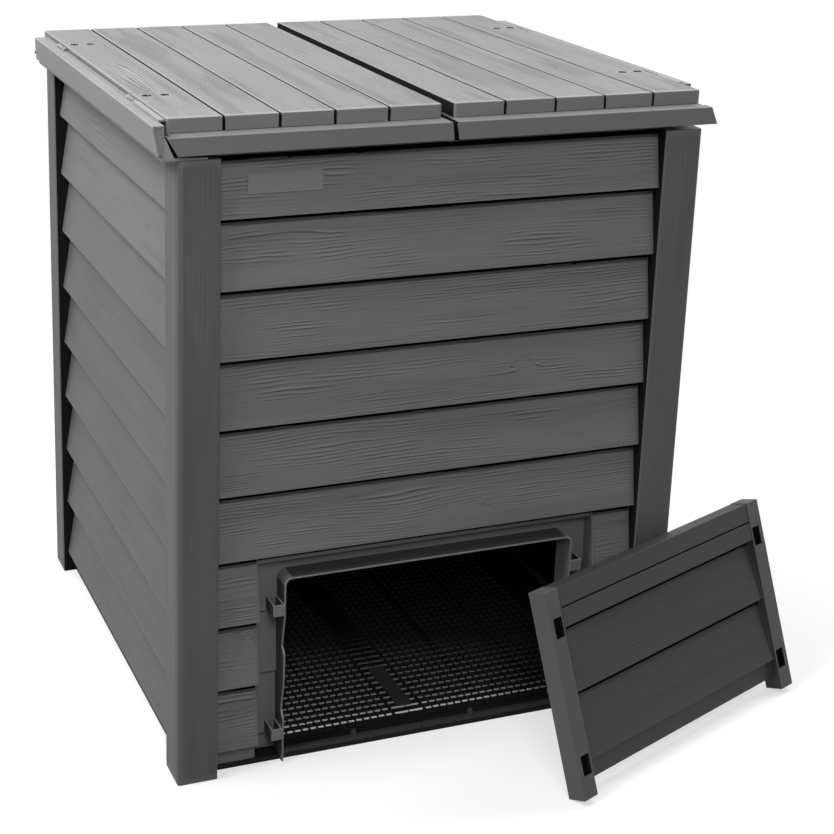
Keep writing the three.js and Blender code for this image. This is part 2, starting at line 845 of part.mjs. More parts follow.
function hingePin() {
  const length = knuckleWidth + 2 * (clearance + earWidth + pinEnd);
  return new THREE.CylinderGeometry(pinRadius, pinRadius, length, roundSteps);
}

function screw() {
  const foot = -(counterboreDepth - clearance) - lidPlate + counterboreDepth - strapThickness;
  const head = -(counterboreDepth - clearance);
  const profile = [
    [0, foot],
    [screwShankRadius, foot],
    [screwShankRadius, head],
    [screwHeadRadius, head],
    [screwHeadRadius, head + screwHeadHeight],
    [0, head + screwHeadHeight],
  ];
  return new THREE.LatheGeometry(path(profile), roundSteps).rotateX(Math.PI / 2);
}

// Floor

function floorOutline(side) {
  const joint = clearance / 2;
  const notch = postSide - clearance;
  const reach = side < 0 ? -floorTabReach : floorTabReach + clearance;
  const tab = side < 0 ? floorTabHalf : floorTabHalf + clearance;
  const outline = [
    [joint, -floorHalf],
    [notch, -floorHalf],
    [notch, -notch],
    [floorHalf, -notch],
    [floorHalf, notch],
    [notch, notch],
    [notch, floorHalf],
    [joint, floorHalf],
    [joint, tab],
    [reach, tab],
    [reach, -tab],
    [joint, -tab],
  ];
  return mirrored(outline, side);
}

function gratingHoles(side) {
  const pitch = (gratingOuter - gratingInner + gratingBar) / gratingColumns;
  const first = -(gratingRows * gratingPitch - gratingBar) / 2;
  const holes = [];
  for (let column = 0; column < gratingColumns; column += 1) {
    for (let row = 0; row < gratingRows; row += 1) {
      const x = gratingInner + column * pitch;
      const y = first + row * gratingPitch;
      holes.push(mirrored(rectangle(x, x + pitch - gratingBar, y, y + gratingPitch - gratingBar), side));
    }
  }
  return holes;
}

function gratingPlate(side) {
  const holes = gratingHoles(side).map((hole) => sweepZ(hole, -overrun, floorHeight + overrun));
  return cut(sweepZ(floorOutline(side), 0, floorHeight), ...holes);
}

function floorSill(side) {
  const across = [side * (clearance / 2 + inset), side * (collarInner - clearance)];
  const front = inset - floorHalf;
  return block(across, [front, front + sillThickness], [inset, sillTop]);
}

function sillWedge(x) {
  const outline = [
    [x - wedgeFoot / 2, sillTop - bite],
    [x + wedgeFoot / 2, sillTop - bite],
    [x + wedgeTip / 2, sillTop + wedgeHeight],
    [x - wedgeTip / 2, sillTop + wedgeHeight],
  ];
  const front = bite - floorHalf;
  return sweepY(outline, front, front + wedgeThickness);
}

function floorPanel(side) {
  const wedges = wedgePlaces.filter((x) => x * side > 0).map(sillWedge);
  return join(gratingPlate(side), floorSill(side), ...wedges);
}

function floorClip(y) {
  const across = [-clipWidth / 2, clipWidth / 2];
  const along = [y - clipLength / 2, y + clipLength / 2];
  return block(across, along, [floorHeight + clearance, floorHeight + clearance + clipThickness]);
}

// Assembly

const bin = new THREE.Group();

function place(name, geometry, skin, parent = bin) {
  const mesh = new THREE.Mesh(geometry, skin);
  mesh.name = name;
  parent.add(mesh);
  return mesh;
}

const walls = [
  { name: "front", turn: 0, corner: "front_left" },
  { name: "right", turn: Math.PI / 2, corner: "front_right" },
  { name: "back", turn: Math.PI, corner: "back_right" },
  { name: "left", turn: -Math.PI / 2, corner: "back_left" },
];
const panels = [
  { name: "top", lowRow: rowsPerPanel },
  { name: "middle", lowRow: 2 * rowsPerPanel },
  { name: "bottom", lowRow: 3 * rowsPerPanel },
].map((panel) => ({
  ...panel,
  geometry: toGeometry(wallPanel(panel.lowRow, panel.lowRow - rowsPerPanel + 1)),
}));
const postGeometry = toGeometry(cornerPost());

for (const wall of walls) {
  place(`post_${wall.corner}`, postGeometry, post).rotation.z = wall.turn;
  for (const panel of panels) {
    if (wall.name === "front" && panel.name === "bottom") continue;
    place(`${wall.name}_panel_${panel.name}`, panel.geometry, siding).rotation.z = wall.turn;
  }
}
place("hatch_panel", toGeometry(hatchPanel()), siding);

const hatchTurned = new THREE.Group();
hatchTurned.position.set(...hatchStand());
hatchTurned.rotation.z = hatchTurn;
bin.add(hatchTurned);
place("hatch", toGeometry(hatch()), hatchSkin, hatchTurned).rotation.x = -hatchLean;

const halves = [
  { name: "left", side: -1, reach: railLeft },
  { name: "right", side: 1, reach: railRight },
];
for (const { name, side, reach } of halves) {
  place(`lid_${name}`, toGeometry(lid(side)), lidSkin);
  place(`hinge_rail_${name}`, toGeometry(rail(side, reach)), lidSkin);
  place(`floor_panel_${name}`, toGeometry(floorPanel(side)), grating);
  for (const [end, y] of [["front", -hingePlace], ["back", hingePlace]]) {
    place(`hinge_strap_${name}_${end}`, toGeometry(hingeStrap(side, y)), steel);
    place(`hinge_pin_${name}_${end}`, hingePin(), steel).position.set(side * hingeX, y, hingeZ);
    screwPlaces.forEach((x, i) => {
      const at = [side * x, y, lidTop];
      place(`screw_${name}_${end}_${i + 1}`, screw(), steel).position.set(...at);
    });
  }
}
place("floor_clip_front", toGeometry(floorClip(-clipPlace)), grating);
place("floor_clip_back", toGeometry(floorClip(clipPlace)), grating);

export default bin;
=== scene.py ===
# Looks of the compost bin: wood-grained boards over the CAD panels, the floor's fine ribs,
# plastic and steel materials, studio light and the camera. Metres, in the CAD model's frame.
import math
import bpy
import numpy as np
from mathutils import Matrix, Vector

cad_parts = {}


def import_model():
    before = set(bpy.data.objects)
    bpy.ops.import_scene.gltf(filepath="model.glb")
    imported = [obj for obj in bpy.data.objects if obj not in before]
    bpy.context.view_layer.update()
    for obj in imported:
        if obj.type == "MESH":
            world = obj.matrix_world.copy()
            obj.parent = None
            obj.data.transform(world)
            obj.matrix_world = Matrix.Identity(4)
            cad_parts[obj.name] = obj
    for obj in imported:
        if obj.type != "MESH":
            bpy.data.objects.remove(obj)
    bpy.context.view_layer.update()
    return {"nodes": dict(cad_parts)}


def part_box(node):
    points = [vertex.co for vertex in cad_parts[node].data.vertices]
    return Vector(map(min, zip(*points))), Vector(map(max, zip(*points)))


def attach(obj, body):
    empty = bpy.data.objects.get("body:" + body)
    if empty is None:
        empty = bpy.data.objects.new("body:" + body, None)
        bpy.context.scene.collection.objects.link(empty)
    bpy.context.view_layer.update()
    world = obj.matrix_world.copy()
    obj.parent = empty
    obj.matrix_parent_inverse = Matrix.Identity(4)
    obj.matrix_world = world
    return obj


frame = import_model()

MM = 0.001
TOLERANCE = 1 * MM

# Sizes of the CAD model that its boxes don't give: walls and posts
BOARD_PITCH = 100 * MM
BOARD_ROWS = 9
ROWS_PER_PANEL = 3
BOARD_LEAN = 16.5 * MM  # how far a board's lower edge stands out from its upper one
BOARD_SLOPE = math.atan2(BOARD_LEAN, BOARD_PITCH)
BOARD_RECESS = 8 * MM  # from the posts' faces back to the boards' lower edges
LOWEST_BOARD = 37.5 * MM
SHORT_BOARD_END = 269 * MM
POST_FACE = 60 * MM
POST_CORNER = 4 * MM

# Lids and hinges
LID_GAP = 9 * MM
LID_BOARD = 78.5 * MM
LID_BOARDS = 5
LID_HALF_DEPTH = 369 * MM
LID_LAYER = 20 * MM
SEAM = 3 * MM
SEAM_DEPTH = 3 * MM
HINGE_PLACE = 216 * MM
HINGE_ROOM = 27 * MM
SCREW_PLACES = (360 * MM, 386 * MM)
COUNTERBORE_RADIUS = 5.5 * MM
COUNTERBORE_DEPTH = 3 * MM
GAP_START, GAP_END = 404 * MM, 412 * MM  # the gap between lid and rail
LIP_END_TOP, LIP_END_FOOT, LIP_TOP = -408 * MM, -395 * MM, 953 * MM

# The collar and the hooks of the hatch panel
COLLAR_HALF, COLLAR_TOP, COLLAR_RADIUS = 232 * MM, 300 * MM, 12 * MM
COLLAR_INSIDE, COLLAR_SKIN = 3.3 * MM, 0.2 * MM  # the wall with a little room on both sides
COLLAR_BACK = 14 * MM  # the furthest that its edge falls back from the boards' lower edges
RECESS_BACK, RECESS_TOP = 38 * MM, 317 * MM
HOOK_RIMS = (259 * MM, 58 * MM)

# The leaning hatch
HATCH_TURN = math.radians(21.5)
HATCH_LEAN = math.radians(19)
HATCH_CORNER = Vector((138, -630.958, 9.767)) * MM
HATCH_WIDTH = 518 * MM
HATCH_STILE = 30 * MM
HATCH_RIB_FOOT = 245.6 * MM
HATCH_BOARDS = (96 * MM, 100 * MM)
HATCH_BOARD_FRONT, HATCH_BOARD_BACK = 3 * MM, 13 * MM
HATCH_GROOVE, GROOVE_HALF = 274.6 * MM, 1.3 * MM
SLOT_MARGIN, SLOT_LOW, SLOT_HIGH = 3 * MM, 20 * MM, 285 * MM

# The floor, with the scene's ribs and the raised bars on it
FLOOR_HALF = 336 * MM
FLOOR_TOP = 7.7 * MM
SINK = 0.3 * MM
RIB_START, RIB_END, RIB_PITCH = 26 * MM, 326 * MM, 12.5 * MM
RIB_WIDTH = 2.2 * MM
RIB_FOOT, RIB_TOP = 0.6 * MM, 7.2 * MM
BAR_ROWS = 42
BAR_PITCH = 16 * MM
BAR_WIDTH = 5 * MM
BAR_GAP = 0.6 * MM
BAR_INSET = 0.6 * MM
BAR_RISE = 1.1 * MM
BAR_DRAW = 0.4 * MM
MIDDLE_BAR = (1 * MM, 23 * MM)  # over the strip where the two panels meet
BAR_FADE = (-0.30, 0.06)  # from the front to the back, over which the bars' tops darken with painted shade
BAR_SLANT = 0.3  # how much sooner they darken to the right
BAR_PAINTED_SHADE = -0.985
BAR_PAINTED_LIGHT = 1.6  # painted light in the first rows, next to the hatch
PAINTED_LIGHT_FADE = (-0.335, -0.285)

# Trim, the painted shade line over the hatch panel, and the plate
TRIM_SINK = 0.5 * MM
TRIM_THICKNESS = 2.5 * MM
TRIM_GAP = 1.2 * MM
CORNER_REACH = 2 * MM
HEADER_INSET = 0.5 * MM
HEADER_LOW, HEADER_HIGH = 327.5 * MM, 336.4 * MM
HEADER_FRONT, HEADER_BACK = 15.2 * MM, 17.2 * MM  # behind the boards' lower edges
PLATE_LEFT = -293 * MM
PLATE_SIZE = (107 * MM, 28 * MM)
PLATE_FOOT = 32 * MM  # above the board's lower edge
PLATE_EDGE = 0.4 * MM
# The plate's outline in rings, in millimetres: how far inside its edge, and how far above the board
PLATE_RINGS = ((0, 0.2), (0, 2.4), (1.3, 2.4), (1.7, 1.7))

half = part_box("post_front_right")[1].x
tip_plane = half - BOARD_RECESS
post_side = half - POST_FACE
wall_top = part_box("post_front_right")[1].z
lid_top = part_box("lid_right")[1].z

# The hatch's own directions: across it, up it, and out of its back
hatch_across = Vector((math.cos(HATCH_TURN), math.sin(HATCH_TURN), 0))
hatch_inward = Vector((-math.sin(HATCH_TURN), math.cos(HATCH_TURN), 0))
hatch_up = hatch_inward * math.sin(HATCH_LEAN) + Vector((0, 0, math.cos(HATCH_LEAN)))
hatch_back = hatch_inward * math.cos(HATCH_LEAN) - Vector((0, 0, math.sin(HATCH_LEAN)))


# Materials

# Noises: scale, detail and roughness
BLOTCH = (5, 3, 0.55)
STREAK = (70, 5, 0.6)
FIBRES = (420, 4, 0.65)
PEBBLE = (1300, 2, 0.5)
CLOUD = (160, 3, 0.5)
SCRATCHES = (900, 3, 0.6)
GRAIN_STRETCH = {"x": (0.09, 1, 1), "y": (1, 0.09, 1), "z": (1, 1, 0.09), "none": (1, 1, 1)}
SCRATCH_STRETCH = (1, 0.06, 1)
# How much each noise changes the colour or the roughness
BLOTCH_AMOUNT = 0.10
STREAK_ROUGHNESS = 0.16
CLOUD_AMOUNT = 0.25
SCRATCH_ROUGHNESS = 0.3
WORN_AND_HIGHLIT_EDGES = (0.52, 0.62)  # the pointiness of an edge that starts to lighten, partly as wear and partly as a painted highlight, and of one where that is full
WEAR_AND_HIGHLIGHT = (1.0, 1.40)
FIBRE_SHARE, PEBBLE_SHARE = 0.8, 0.25
# Bumps: strength and depth
PLASTIC_BUMP = (0.25, 0.6 * MM)
STEEL_BUMP = (0.2, 0.1 * MM)
NODE_STEP = 160  # between nodes side by side in a tree


def node(tree, kind, place, **values):
    made = tree.nodes.new(kind)
    made.location = place
    for key, value in values.items():
        setattr(made, key, value)
    return made


def math_node(tree, operation, a, b, place):
    made = node(tree, "ShaderNodeMath", place, operation=operation)
    for socket, value in zip(made.inputs, (a, b)):
        if isinstance(value, (int, float)):
            socket.default_value = value
        else:
            tree.links.new(value, socket)
    return made.outputs[0]


def noise_node(tree, vector, noise, place):
    made = node(tree, "ShaderNodeTexNoise", place)
    for name, value in zip(("Scale", "Detail", "Roughness"), noise):
        made.inputs[name].default_value = value
    tree.links.new(vector, made.inputs["Vector"])
    return made.outputs["Fac"]


def stretched(tree, vector, stretch, place):
    made = node(tree, "ShaderNodeMapping", place)
    made.inputs["Scale"].default_value = stretch
    tree.links.new(vector, made.inputs["Vector"])
    return made.outputs["Vector"]


def map_range(tree, value, source, target, place, **values):
    """A value moved from the source's range to the target's."""
    made = node(tree, "ShaderNodeMapRange", place, **values)
    for name, end in zip(("From Min", "From Max", "To Min", "To Max"), (*source, *target)):
        made.inputs[name].default_value = end
    tree.links.new(value, made.inputs["Value"])
    return made.outputs["Result"]


def around_one(tree, value, amount, place):
    """A noise value of 0 to 1 turned into a factor around 1."""
    wide = math_node(tree, "MULTIPLY", value, 2 * amount, place)
    return math_node(tree, "ADD", wide, 1 - amount, (place[0] + NODE_STEP, place[1]))


def new_material(name):
    """A material with its node tree and its shader."""
    material = bpy.data.materials.new(name)
    material.use_nodes = True
    tree = material.node_tree
    shader = tree.nodes["Principled BSDF"]
    shader.location = (1100, 0)
    tree.nodes["Material Output"].location = (1400, 0)
    return material, tree, shader


def paint(tree, shader, colour, factor):
    """The shader's colour, times a factor that varies over the surface."""
    scaled = node(tree, "ShaderNodeVectorMath", (760, 300), operation="SCALE")
    scaled.inputs[0].default_value = colour
    tree.links.new(factor, scaled.inputs["Scale"])
    tree.links.new(scaled.outputs[0], shader.inputs["Base Color"])


def bump(tree, shader, height, strength, depth):
    made = node(tree, "ShaderNodeBump", (700, -200))
    made.inputs["Strength"].default_value = strength
    made.inputs["Distance"].default_value = depth
    tree.links.new(height, made.inputs["Height"])
    tree.links.new(made.outputs["Normal"], shader.inputs["Normal"])


def plastic(name, colour, grain="x", roughness=0.60, fibre=0.07, shine=0.3):
    """Matte moulded plastic with fibres along its grain, blotches, and edges lightened partly by wear and
    partly by a painted highlight.
    """
    material, tree, shader = new_material(name)
    shader.inputs["Specular IOR Level"].default_value = shine
    place = node(tree, "ShaderNodeTexCoord", (-900, 0)).outputs["Object"]
    along = stretched(tree, place, GRAIN_STRETCH[grain], (-700, 0))
    blotch = noise_node(tree, place, BLOTCH, (-500, 300))
    streak = noise_node(tree, along, STREAK, (-500, 100))
    fibres = noise_node(tree, along, FIBRES, (-500, -100))
    pebble = noise_node(tree, place, PEBBLE, (-500, -300))
    tone = node(tree, "ShaderNodeAttribute", (-500, 500), attribute_name="tone").outputs["Fac"]
    edge = node(tree, "ShaderNodeNewGeometry", (-500, 700)).outputs["Pointiness"]
    factor = math_node(tree, "ADD", tone, 1.0, (-140, 500))
    for number, other in enumerate((
        around_one(tree, blotch, BLOTCH_AMOUNT, (-300, 300)),
        around_one(tree, streak, fibre, (-300, 100)),
        around_one(tree, fibres, fibre / 2, (-300, -100)),
        map_range(tree, edge, WORN_AND_HIGHLIT_EDGES, WEAR_AND_HIGHLIGHT, (-300, 700)),
    )):
        factor = math_node(tree, "MULTIPLY", factor, other, (100 + NODE_STEP * number, 400))
    paint(tree, shader, colour, factor)
    rough = around_one(tree, streak, STREAK_ROUGHNESS, (100, 0))
    rough = math_node(tree, "MULTIPLY", rough, roughness, (420, 0))
    tree.links.new(rough, shader.inputs["Roughness"])
    coarse = math_node(tree, "MULTIPLY", fibres, FIBRE_SHARE, (100, -200))
    fine = math_node(tree, "MULTIPLY", pebble, PEBBLE_SHARE, (100, -400))
    bump(tree, shader, math_node(tree, "ADD", coarse, fine, (300, -200)), *PLASTIC_BUMP)
    return material


def steel(name, colour, metallic, roughness):
    """Finely scratched steel, coated or bare."""
    material, tree, shader = new_material(name)
    shader.inputs["Metallic"].default_value = metallic
    place = node(tree, "ShaderNodeTexCoord", (-900, 0)).outputs["Object"]
    cloud = noise_node(tree, place, CLOUD, (-500, 100))
    along = stretched(tree, place, SCRATCH_STRETCH, (-700, -200))
    scratches = noise_node(tree, along, SCRATCHES, (-500, -200))
    paint(tree, shader, colour, around_one(tree, cloud, CLOUD_AMOUNT, (-300, 200)))
    rough = around_one(tree, scratches, SCRATCH_ROUGHNESS, (-300, -100))
    tree.links.new(math_node(tree, "MULTIPLY", rough, roughness, (100, -100)), shader.inputs["Roughness"])
    bump(tree, shader, scratches, *STEEL_BUMP)
    return material


# The plastic is one dark grey, of which SIDING is the colour. Several others are copies of it made lighter
# or darker by how light falls on them: painted light on LID and RAIL, a painted highlight on COLLAR_RIM and
# GRATING_TOPS, and painted shade on POST, LID_EDGE, LIP, HATCH, HATCH_FRAME and COLLAR_SIDE.
SIDING = (0.130, 0.131, 0.129)
POST = (0.079, 0.080, 0.079)
LID = (0.183, 0.184, 0.183)
LID_EDGE = (0.145, 0.146, 0.145)
LIP = (0.076, 0.077, 0.076)
RAIL = (0.180, 0.181, 0.180)
HATCH = (0.031, 0.032, 0.031)
HATCH_FRAME = (0.066, 0.067, 0.066)
GRATING = (0.010, 0.010, 0.010)
GRATING_TOPS = (0.27, 0.275, 0.275)
CLIP = (0.032, 0.032, 0.032)
COLLAR_RIM = (0.180, 0.181, 0.179)
COLLAR_SIDE = (0.040, 0.041, 0.040)
PLATE = (0.165, 0.166, 0.164)
SHADE = (0.009, 0.009, 0.009)
INNER_SHADE = (0.004, 0.004, 0.004)
COATING = (0.014, 0.014, 0.015)
ZINC = (0.10, 0.102, 0.103)

siding_x = plastic("siding_grain_x", SIDING, "x")
siding_y = plastic("siding_grain_y", SIDING, "y")
post_z = plastic("post_grain", POST, "z", fibre=0.03)
lid_y = plastic("lid_grain", LID, "y")
lid_x = plastic("lid_edge_grain", LID_EDGE, "x")
lip_x = plastic("lip_grain", LIP, "x")
rail_y = plastic("rail_grain", RAIL, "y")
hatch_x = plastic("hatch_grain", HATCH, "x", roughness=0.55)
hatch_frame = plastic("hatch_frame_grain", HATCH_FRAME, "z", roughness=0.55)
grating_plastic = plastic("grating_plastic", GRATING, "none", roughness=0.5, fibre=0.04, shine=0.08)
grating_tops = plastic("grating_tops", GRATING_TOPS, "none", roughness=0.5, fibre=0.08, shine=0.08)
clip_plastic = plastic("clip_plastic", CLIP, "none", roughness=0.5, fibre=0.04, shine=0.15)
collar_rim = plastic("collar_rim", COLLAR_RIM, "none", fibre=0.03)
collar_side = plastic("collar_side", COLLAR_SIDE, "none", fibre=0.03, shine=0.15)
plate_plastic = plastic("plate_plastic", PLATE, "x", fibre=0.03)
# painted shade: near black, for the gaps, grooves, slots and crevices where shade falls
gap_shade = plastic("gap_shade", SHADE, "none", roughness=0.8, fibre=0.02, shine=0.02)
# painted shade: the bin's own plastic made near black on the faces inside it and underneath
inner_shade = plastic("inner_shade", INNER_SHADE, "none", roughness=0.7, fibre=0.03, shine=0.02)
coated = steel("coated_steel", COATING, 0.0, 0.45)
zinc = steel("zinc_plated_steel", ZINC, 0.1, 0.6)


# New pieces

def shaped(name, points, faces, materials, tones=()):
    """A mesh of points and faces, with its materials and the lighter or darker tone of each point."""
    mesh = bpy.data.meshes.new(name)
    mesh.from_pydata(points, [], faces)
    if len(tones):
        mesh.attributes.new("tone", "FLOAT", "POINT").data.foreach_set("value", tones)
    for material in materials:
        mesh.materials.append(material)
    return mesh


def scene_object(name, data):
    made = bpy.data.objects.new(name, data)
    bpy.context.scene.collection.objects.link(made)
    return made


def new_piece(name, mesh, body):
    """A piece that rides on a body and takes its finish from a material slot."""
    made = scene_object(name, mesh)
    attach(made, body)
    return made


# Wood grain. Lengths are millimetres in this section and the next, and metres after them.

# How each kind of board is grained
#   step: the mesh's spacing along and across the board
#   line, depth: spacing and depth of the lines
#   plain: strength of the lines outside the grained patches
#   patch: values of the patches' noise where a patch starts and where it is full
#   tone: how much darker the lines are, and lighter the ridges beside them
#   bands: how much darker the broad bands are
#   rim: how much lighter the board's border is, as a painted highlight
#   knots: the chance of a knot
#   crevice: width of the painted black shade line under the board above, where there is one
#   shade, band: width of the painted shade below that line, and how dark it is
#   dull: painted shade, how much darker the boards near the ground are
STYLES = {
    "wall": dict(step=(7, 1.0), line=4.8, depth=0.60, plain=0.16, patch=(-0.40, 0.30), tone=0.80,
                 bands=0.10, rim=0.26, knots=0.4, crevice=7.6, shade=6.0, band=-0.78, dull=0.0),
    "side": dict(step=(9, 1.2), line=6.0, depth=0.24, plain=0.06, patch=(0.0, 0.60), tone=0.225,
                 bands=0.10, rim=0.22, knots=0.2, crevice=2.5, shade=6.0, band=-0.45, dull=-0.28),
    "post": dict(step=(12, 1.8), line=6.5, depth=0.16, plain=0.10, patch=(-0.1, 0.60), tone=0.175,
                 bands=0.10, rim=0.12, knots=0.0),
    "lid": dict(step=(7, 1.1), line=4.0, depth=0.45, plain=0.14, patch=(-0.45, 0.25), tone=0.95,
                bands=0.20, rim=0.30, knots=0.1),
    "hatch": dict(step=(8, 1.2), line=5.5, depth=0.32, plain=0.06, patch=(-0.05, 0.55), tone=0.40,
                  bands=0.10, rim=0.20, knots=0.1, crevice=3.4, shade=5.0, band=-0.65, dull=0.0),
}
NOISE_CELLS = 256
# Noises over a board: spacing along and across, and their place in the seeds
PATCH_NOISE = (120, 21, 3)
FIBRE_NOISE = (42, 2.2, 5)
WAVE_NOISE = (170, 30, 6)
BAND_NOISE = (190, 17, 7)
# How the lines drift across the board: strength and noise
DRIFTS = ((3.0, (260, 60, 1)), (1.6, (95, 24, 2)), (0.7, (34, 10, 8)))
# Eyes, round which the lines part
EYES = 2
EYE_ACROSS, EYE_REACH, EYE_BULGE = (0.2, 0.8), (70, 150), (1.5, 6)
EYE_WIDTH = 9
# Knots: rings round a pit, drawn out along the board
KNOT_ALONG, KNOT_ACROSS = (0.1, 0.9), (0.3, 0.7)
KNOT_STRETCH, KNOT_REACH, KNOT_RING, KNOT_STRENGTH = 2.0, 9, 3.4, 0.8
PIT_DEPTH, PIT_REACH = 0.22, 2.6
# Lines: places of groove and ridge between one line and the next, and where they break off
GROOVE_AT, RIDGE_AT, LINE_WIDTH, RIDGE_HEIGHT = 0.5, 0.76, 0.13, 0.85
BREAK_LENGTH, BREAK_STRIDE, BREAK_SEED = 40, 7.31, 4
BREAKS, FAINTEST = (-0.45, 0.25), 0.15
BAND_EDGES = (0.15, 0.65)
FIBRE_HEIGHT, WAVE_HEIGHT = 0.035, 0.09
FIBRE_TONE, WAVE_TONE, PIT_TONE = 0.04, 0.05, -0.6


def smooth_step(low, high, value):
    share = np.clip((value - low) / (high - low), 0, 1)
    return share * share * (3 - 2 * share)


def bell(value, width):
    return np.exp(-((value / width) ** 2))


def value_noise(x, y, seed):
    """Smooth noise of -1 to 1, from a seeded table that repeats itself."""
    table = np.random.default_rng(seed).random((NOISE_CELLS, NOISE_CELLS)) * 2 - 1
    x0, y0 = np.floor(x).astype(int), np.floor(y).astype(int)
    fx, fy = x - x0, y - y0
    fx, fy = fx * fx * (3 - 2 * fx), fy * fy * (3 - 2 * fy)
    x0, x1, y0, y1 = (cell % NOISE_CELLS for cell in (x0, x0 + 1, y0, y0 + 1))
    low = table[x0, y0] * (1 - fx) + table[x1, y0] * fx
    high = table[x0, y1] * (1 - fx) + table[x1, y1] * fx
    return low * (1 - fy) + high * fy


def board_noise(u, w, noise, seed):
    along, across, place = noise
    return value_noise(u / along, w / across, seed + place)


def wood_relief(u, w, length, width, seed, style):
    """The grain's height, and its lighter or darker tone."""
    rng = np.random.default_rng(seed)
    drift = sum(strength * board_noise(u, w, noise, seed) for strength, noise in DRIFTS)
    for _ in range(EYES):
        eye_u, eye_w = rng.uniform(0, 1) * length, rng.uniform(*EYE_ACROSS) * width
        reach = rng.uniform(*EYE_REACH)
        drift = drift - rng.uniform(*EYE_BULGE) * bell(u - eye_u, reach) * np.tanh((w - eye_w) / EYE_WIDTH)
    mask = smooth_step(*style["patch"], board_noise(u, w, PATCH_NOISE, seed))
    phase = (w + drift) / style["line"]
    pit = np.zeros_like(u)
    if rng.random() < style["knots"]:
        knot_u, knot_w = rng.uniform(*KNOT_ALONG) * length, rng.uniform(*KNOT_ACROSS) * width
        away = np.hypot((u - knot_u) / KNOT_STRETCH, w - knot_w)
        near = bell(away, KNOT_REACH)
        phase = phase * (1 - near) + away / KNOT_RING * near
        mask = np.maximum(mask, KNOT_STRENGTH * near)
        pit = PIT_DEPTH * bell(away, PIT_REACH)
    number = np.floor(phase)
    share = phase - number
    whole = smooth_step(*BREAKS, value_noise(u / BREAK_LENGTH, number * BREAK_STRIDE, seed + BREAK_SEED))
    strength = (style["plain"] + (1 - style["plain"]) * mask) * (FAINTEST + (1 - FAINTEST) * whole)
    groove, ridge = bell(share - GROOVE_AT, LINE_WIDTH), bell(share - RIDGE_AT, LINE_WIDTH)
    lines = strength * (RIDGE_HEIGHT * ridge - groove)
    fibre, wave = board_noise(u, w, FIBRE_NOISE, seed), board_noise(u, w, WAVE_NOISE, seed)
    band = smooth_step(*BAND_EDGES, board_noise(u, w, BAND_NOISE, seed))
    height = style["depth"] * lines + FIBRE_HEIGHT * fibre + WAVE_HEIGHT * wave - pit
    tone = style["tone"] * lines + FIBRE_TONE * fibre + WAVE_TONE * wave
    tone = tone - style["bands"] * band + PIT_TONE * pit
    return height, tone


# Painted shade on the lapped boards

CREVICE_SHADE = -0.985
CREVICE_BLUR = 1.2
CREVICE_GROWTH = 0.005  # the painted black shade line under a board widens towards the ground
END_SHADE, END_FADE = -0.5, (1.05, 3.5)  # painted shade at a board's ends, and the distances over which it fades
FALLOFF_SHADE_DEPTH = 350  # below the top board, where the painted falloff shade is full


def overhung(tone, u, w, length, width, depth, style):
    """The tone of a lapped board, with painted shade: black right under the board above it, a dark band
    below that, and darker at its two ends and near the ground.
    Depth is how far its foot is under the wall's top."""
    below = width - w
    black_to = style["crevice"] + CREVICE_GROWTH * depth
    shade_to = black_to + style["shade"]
    black = 1 + CREVICE_SHADE * (1 - smooth_step(black_to - CREVICE_BLUR, black_to + CREVICE_BLUR, below))
    shade = 1 + style["band"] * (1 - smooth_step((black_to + shade_to) / 2, shade_to, below))
    ends = 1 + END_SHADE * (1 - smooth_step(*END_FADE, np.minimum(u, length - u)))
    # painted shade for the light's falloff towards the ground
    dull = 1 + style["dull"] * float(smooth_step(0, FALLOFF_SHADE_DEPTH, depth - BOARD_PITCH / MM))
    return (1 + tone) * shade * black * ends * dull - 1


# The boards' grained faces

BORDER = 1.1 * MM  # a grained face stops this far from the board's edges
FADE = 4 * MM
BASE_LIFT = 0.75 * MM
EDGE_LIFT = 0.12  # the share of it that is left at the border
LEAST_LIFT = 0.05 * MM
# where the painted highlight along a board's border fades out
RIM_FADE = (0.3 * MM, 2.2 * MM)
SKIN_DEPTH = 1.2 * MM
HOLED_DEPTH = 4 * MM
SHARP = math.radians(50)
BLACK_FROM = -0.85  # faces darker than this take the shadow material
# Counterbores: the finer mesh round them, in metres, and the painted highlight ring round them and the
# painted shade in them, in radii
HOLE_STEP = 0.8 * MM
HOLE_MESH, HOLE_ROOM = 1.9 * COUNTERBORE_RADIUS, 2 * COUNTERBORE_RADIUS
HOLE_INSET = 0.1 * MM
HOLE_HIGHLIGHT, RING_AT, RING_WIDTH = 0.30, 1.6, 0.25
HOLE_SHADE, DARK_TO = -0.92, 1.25


def steps(start, end, step):
    return np.linspace(start, end, max(2, round((end - start) / step) + 1))


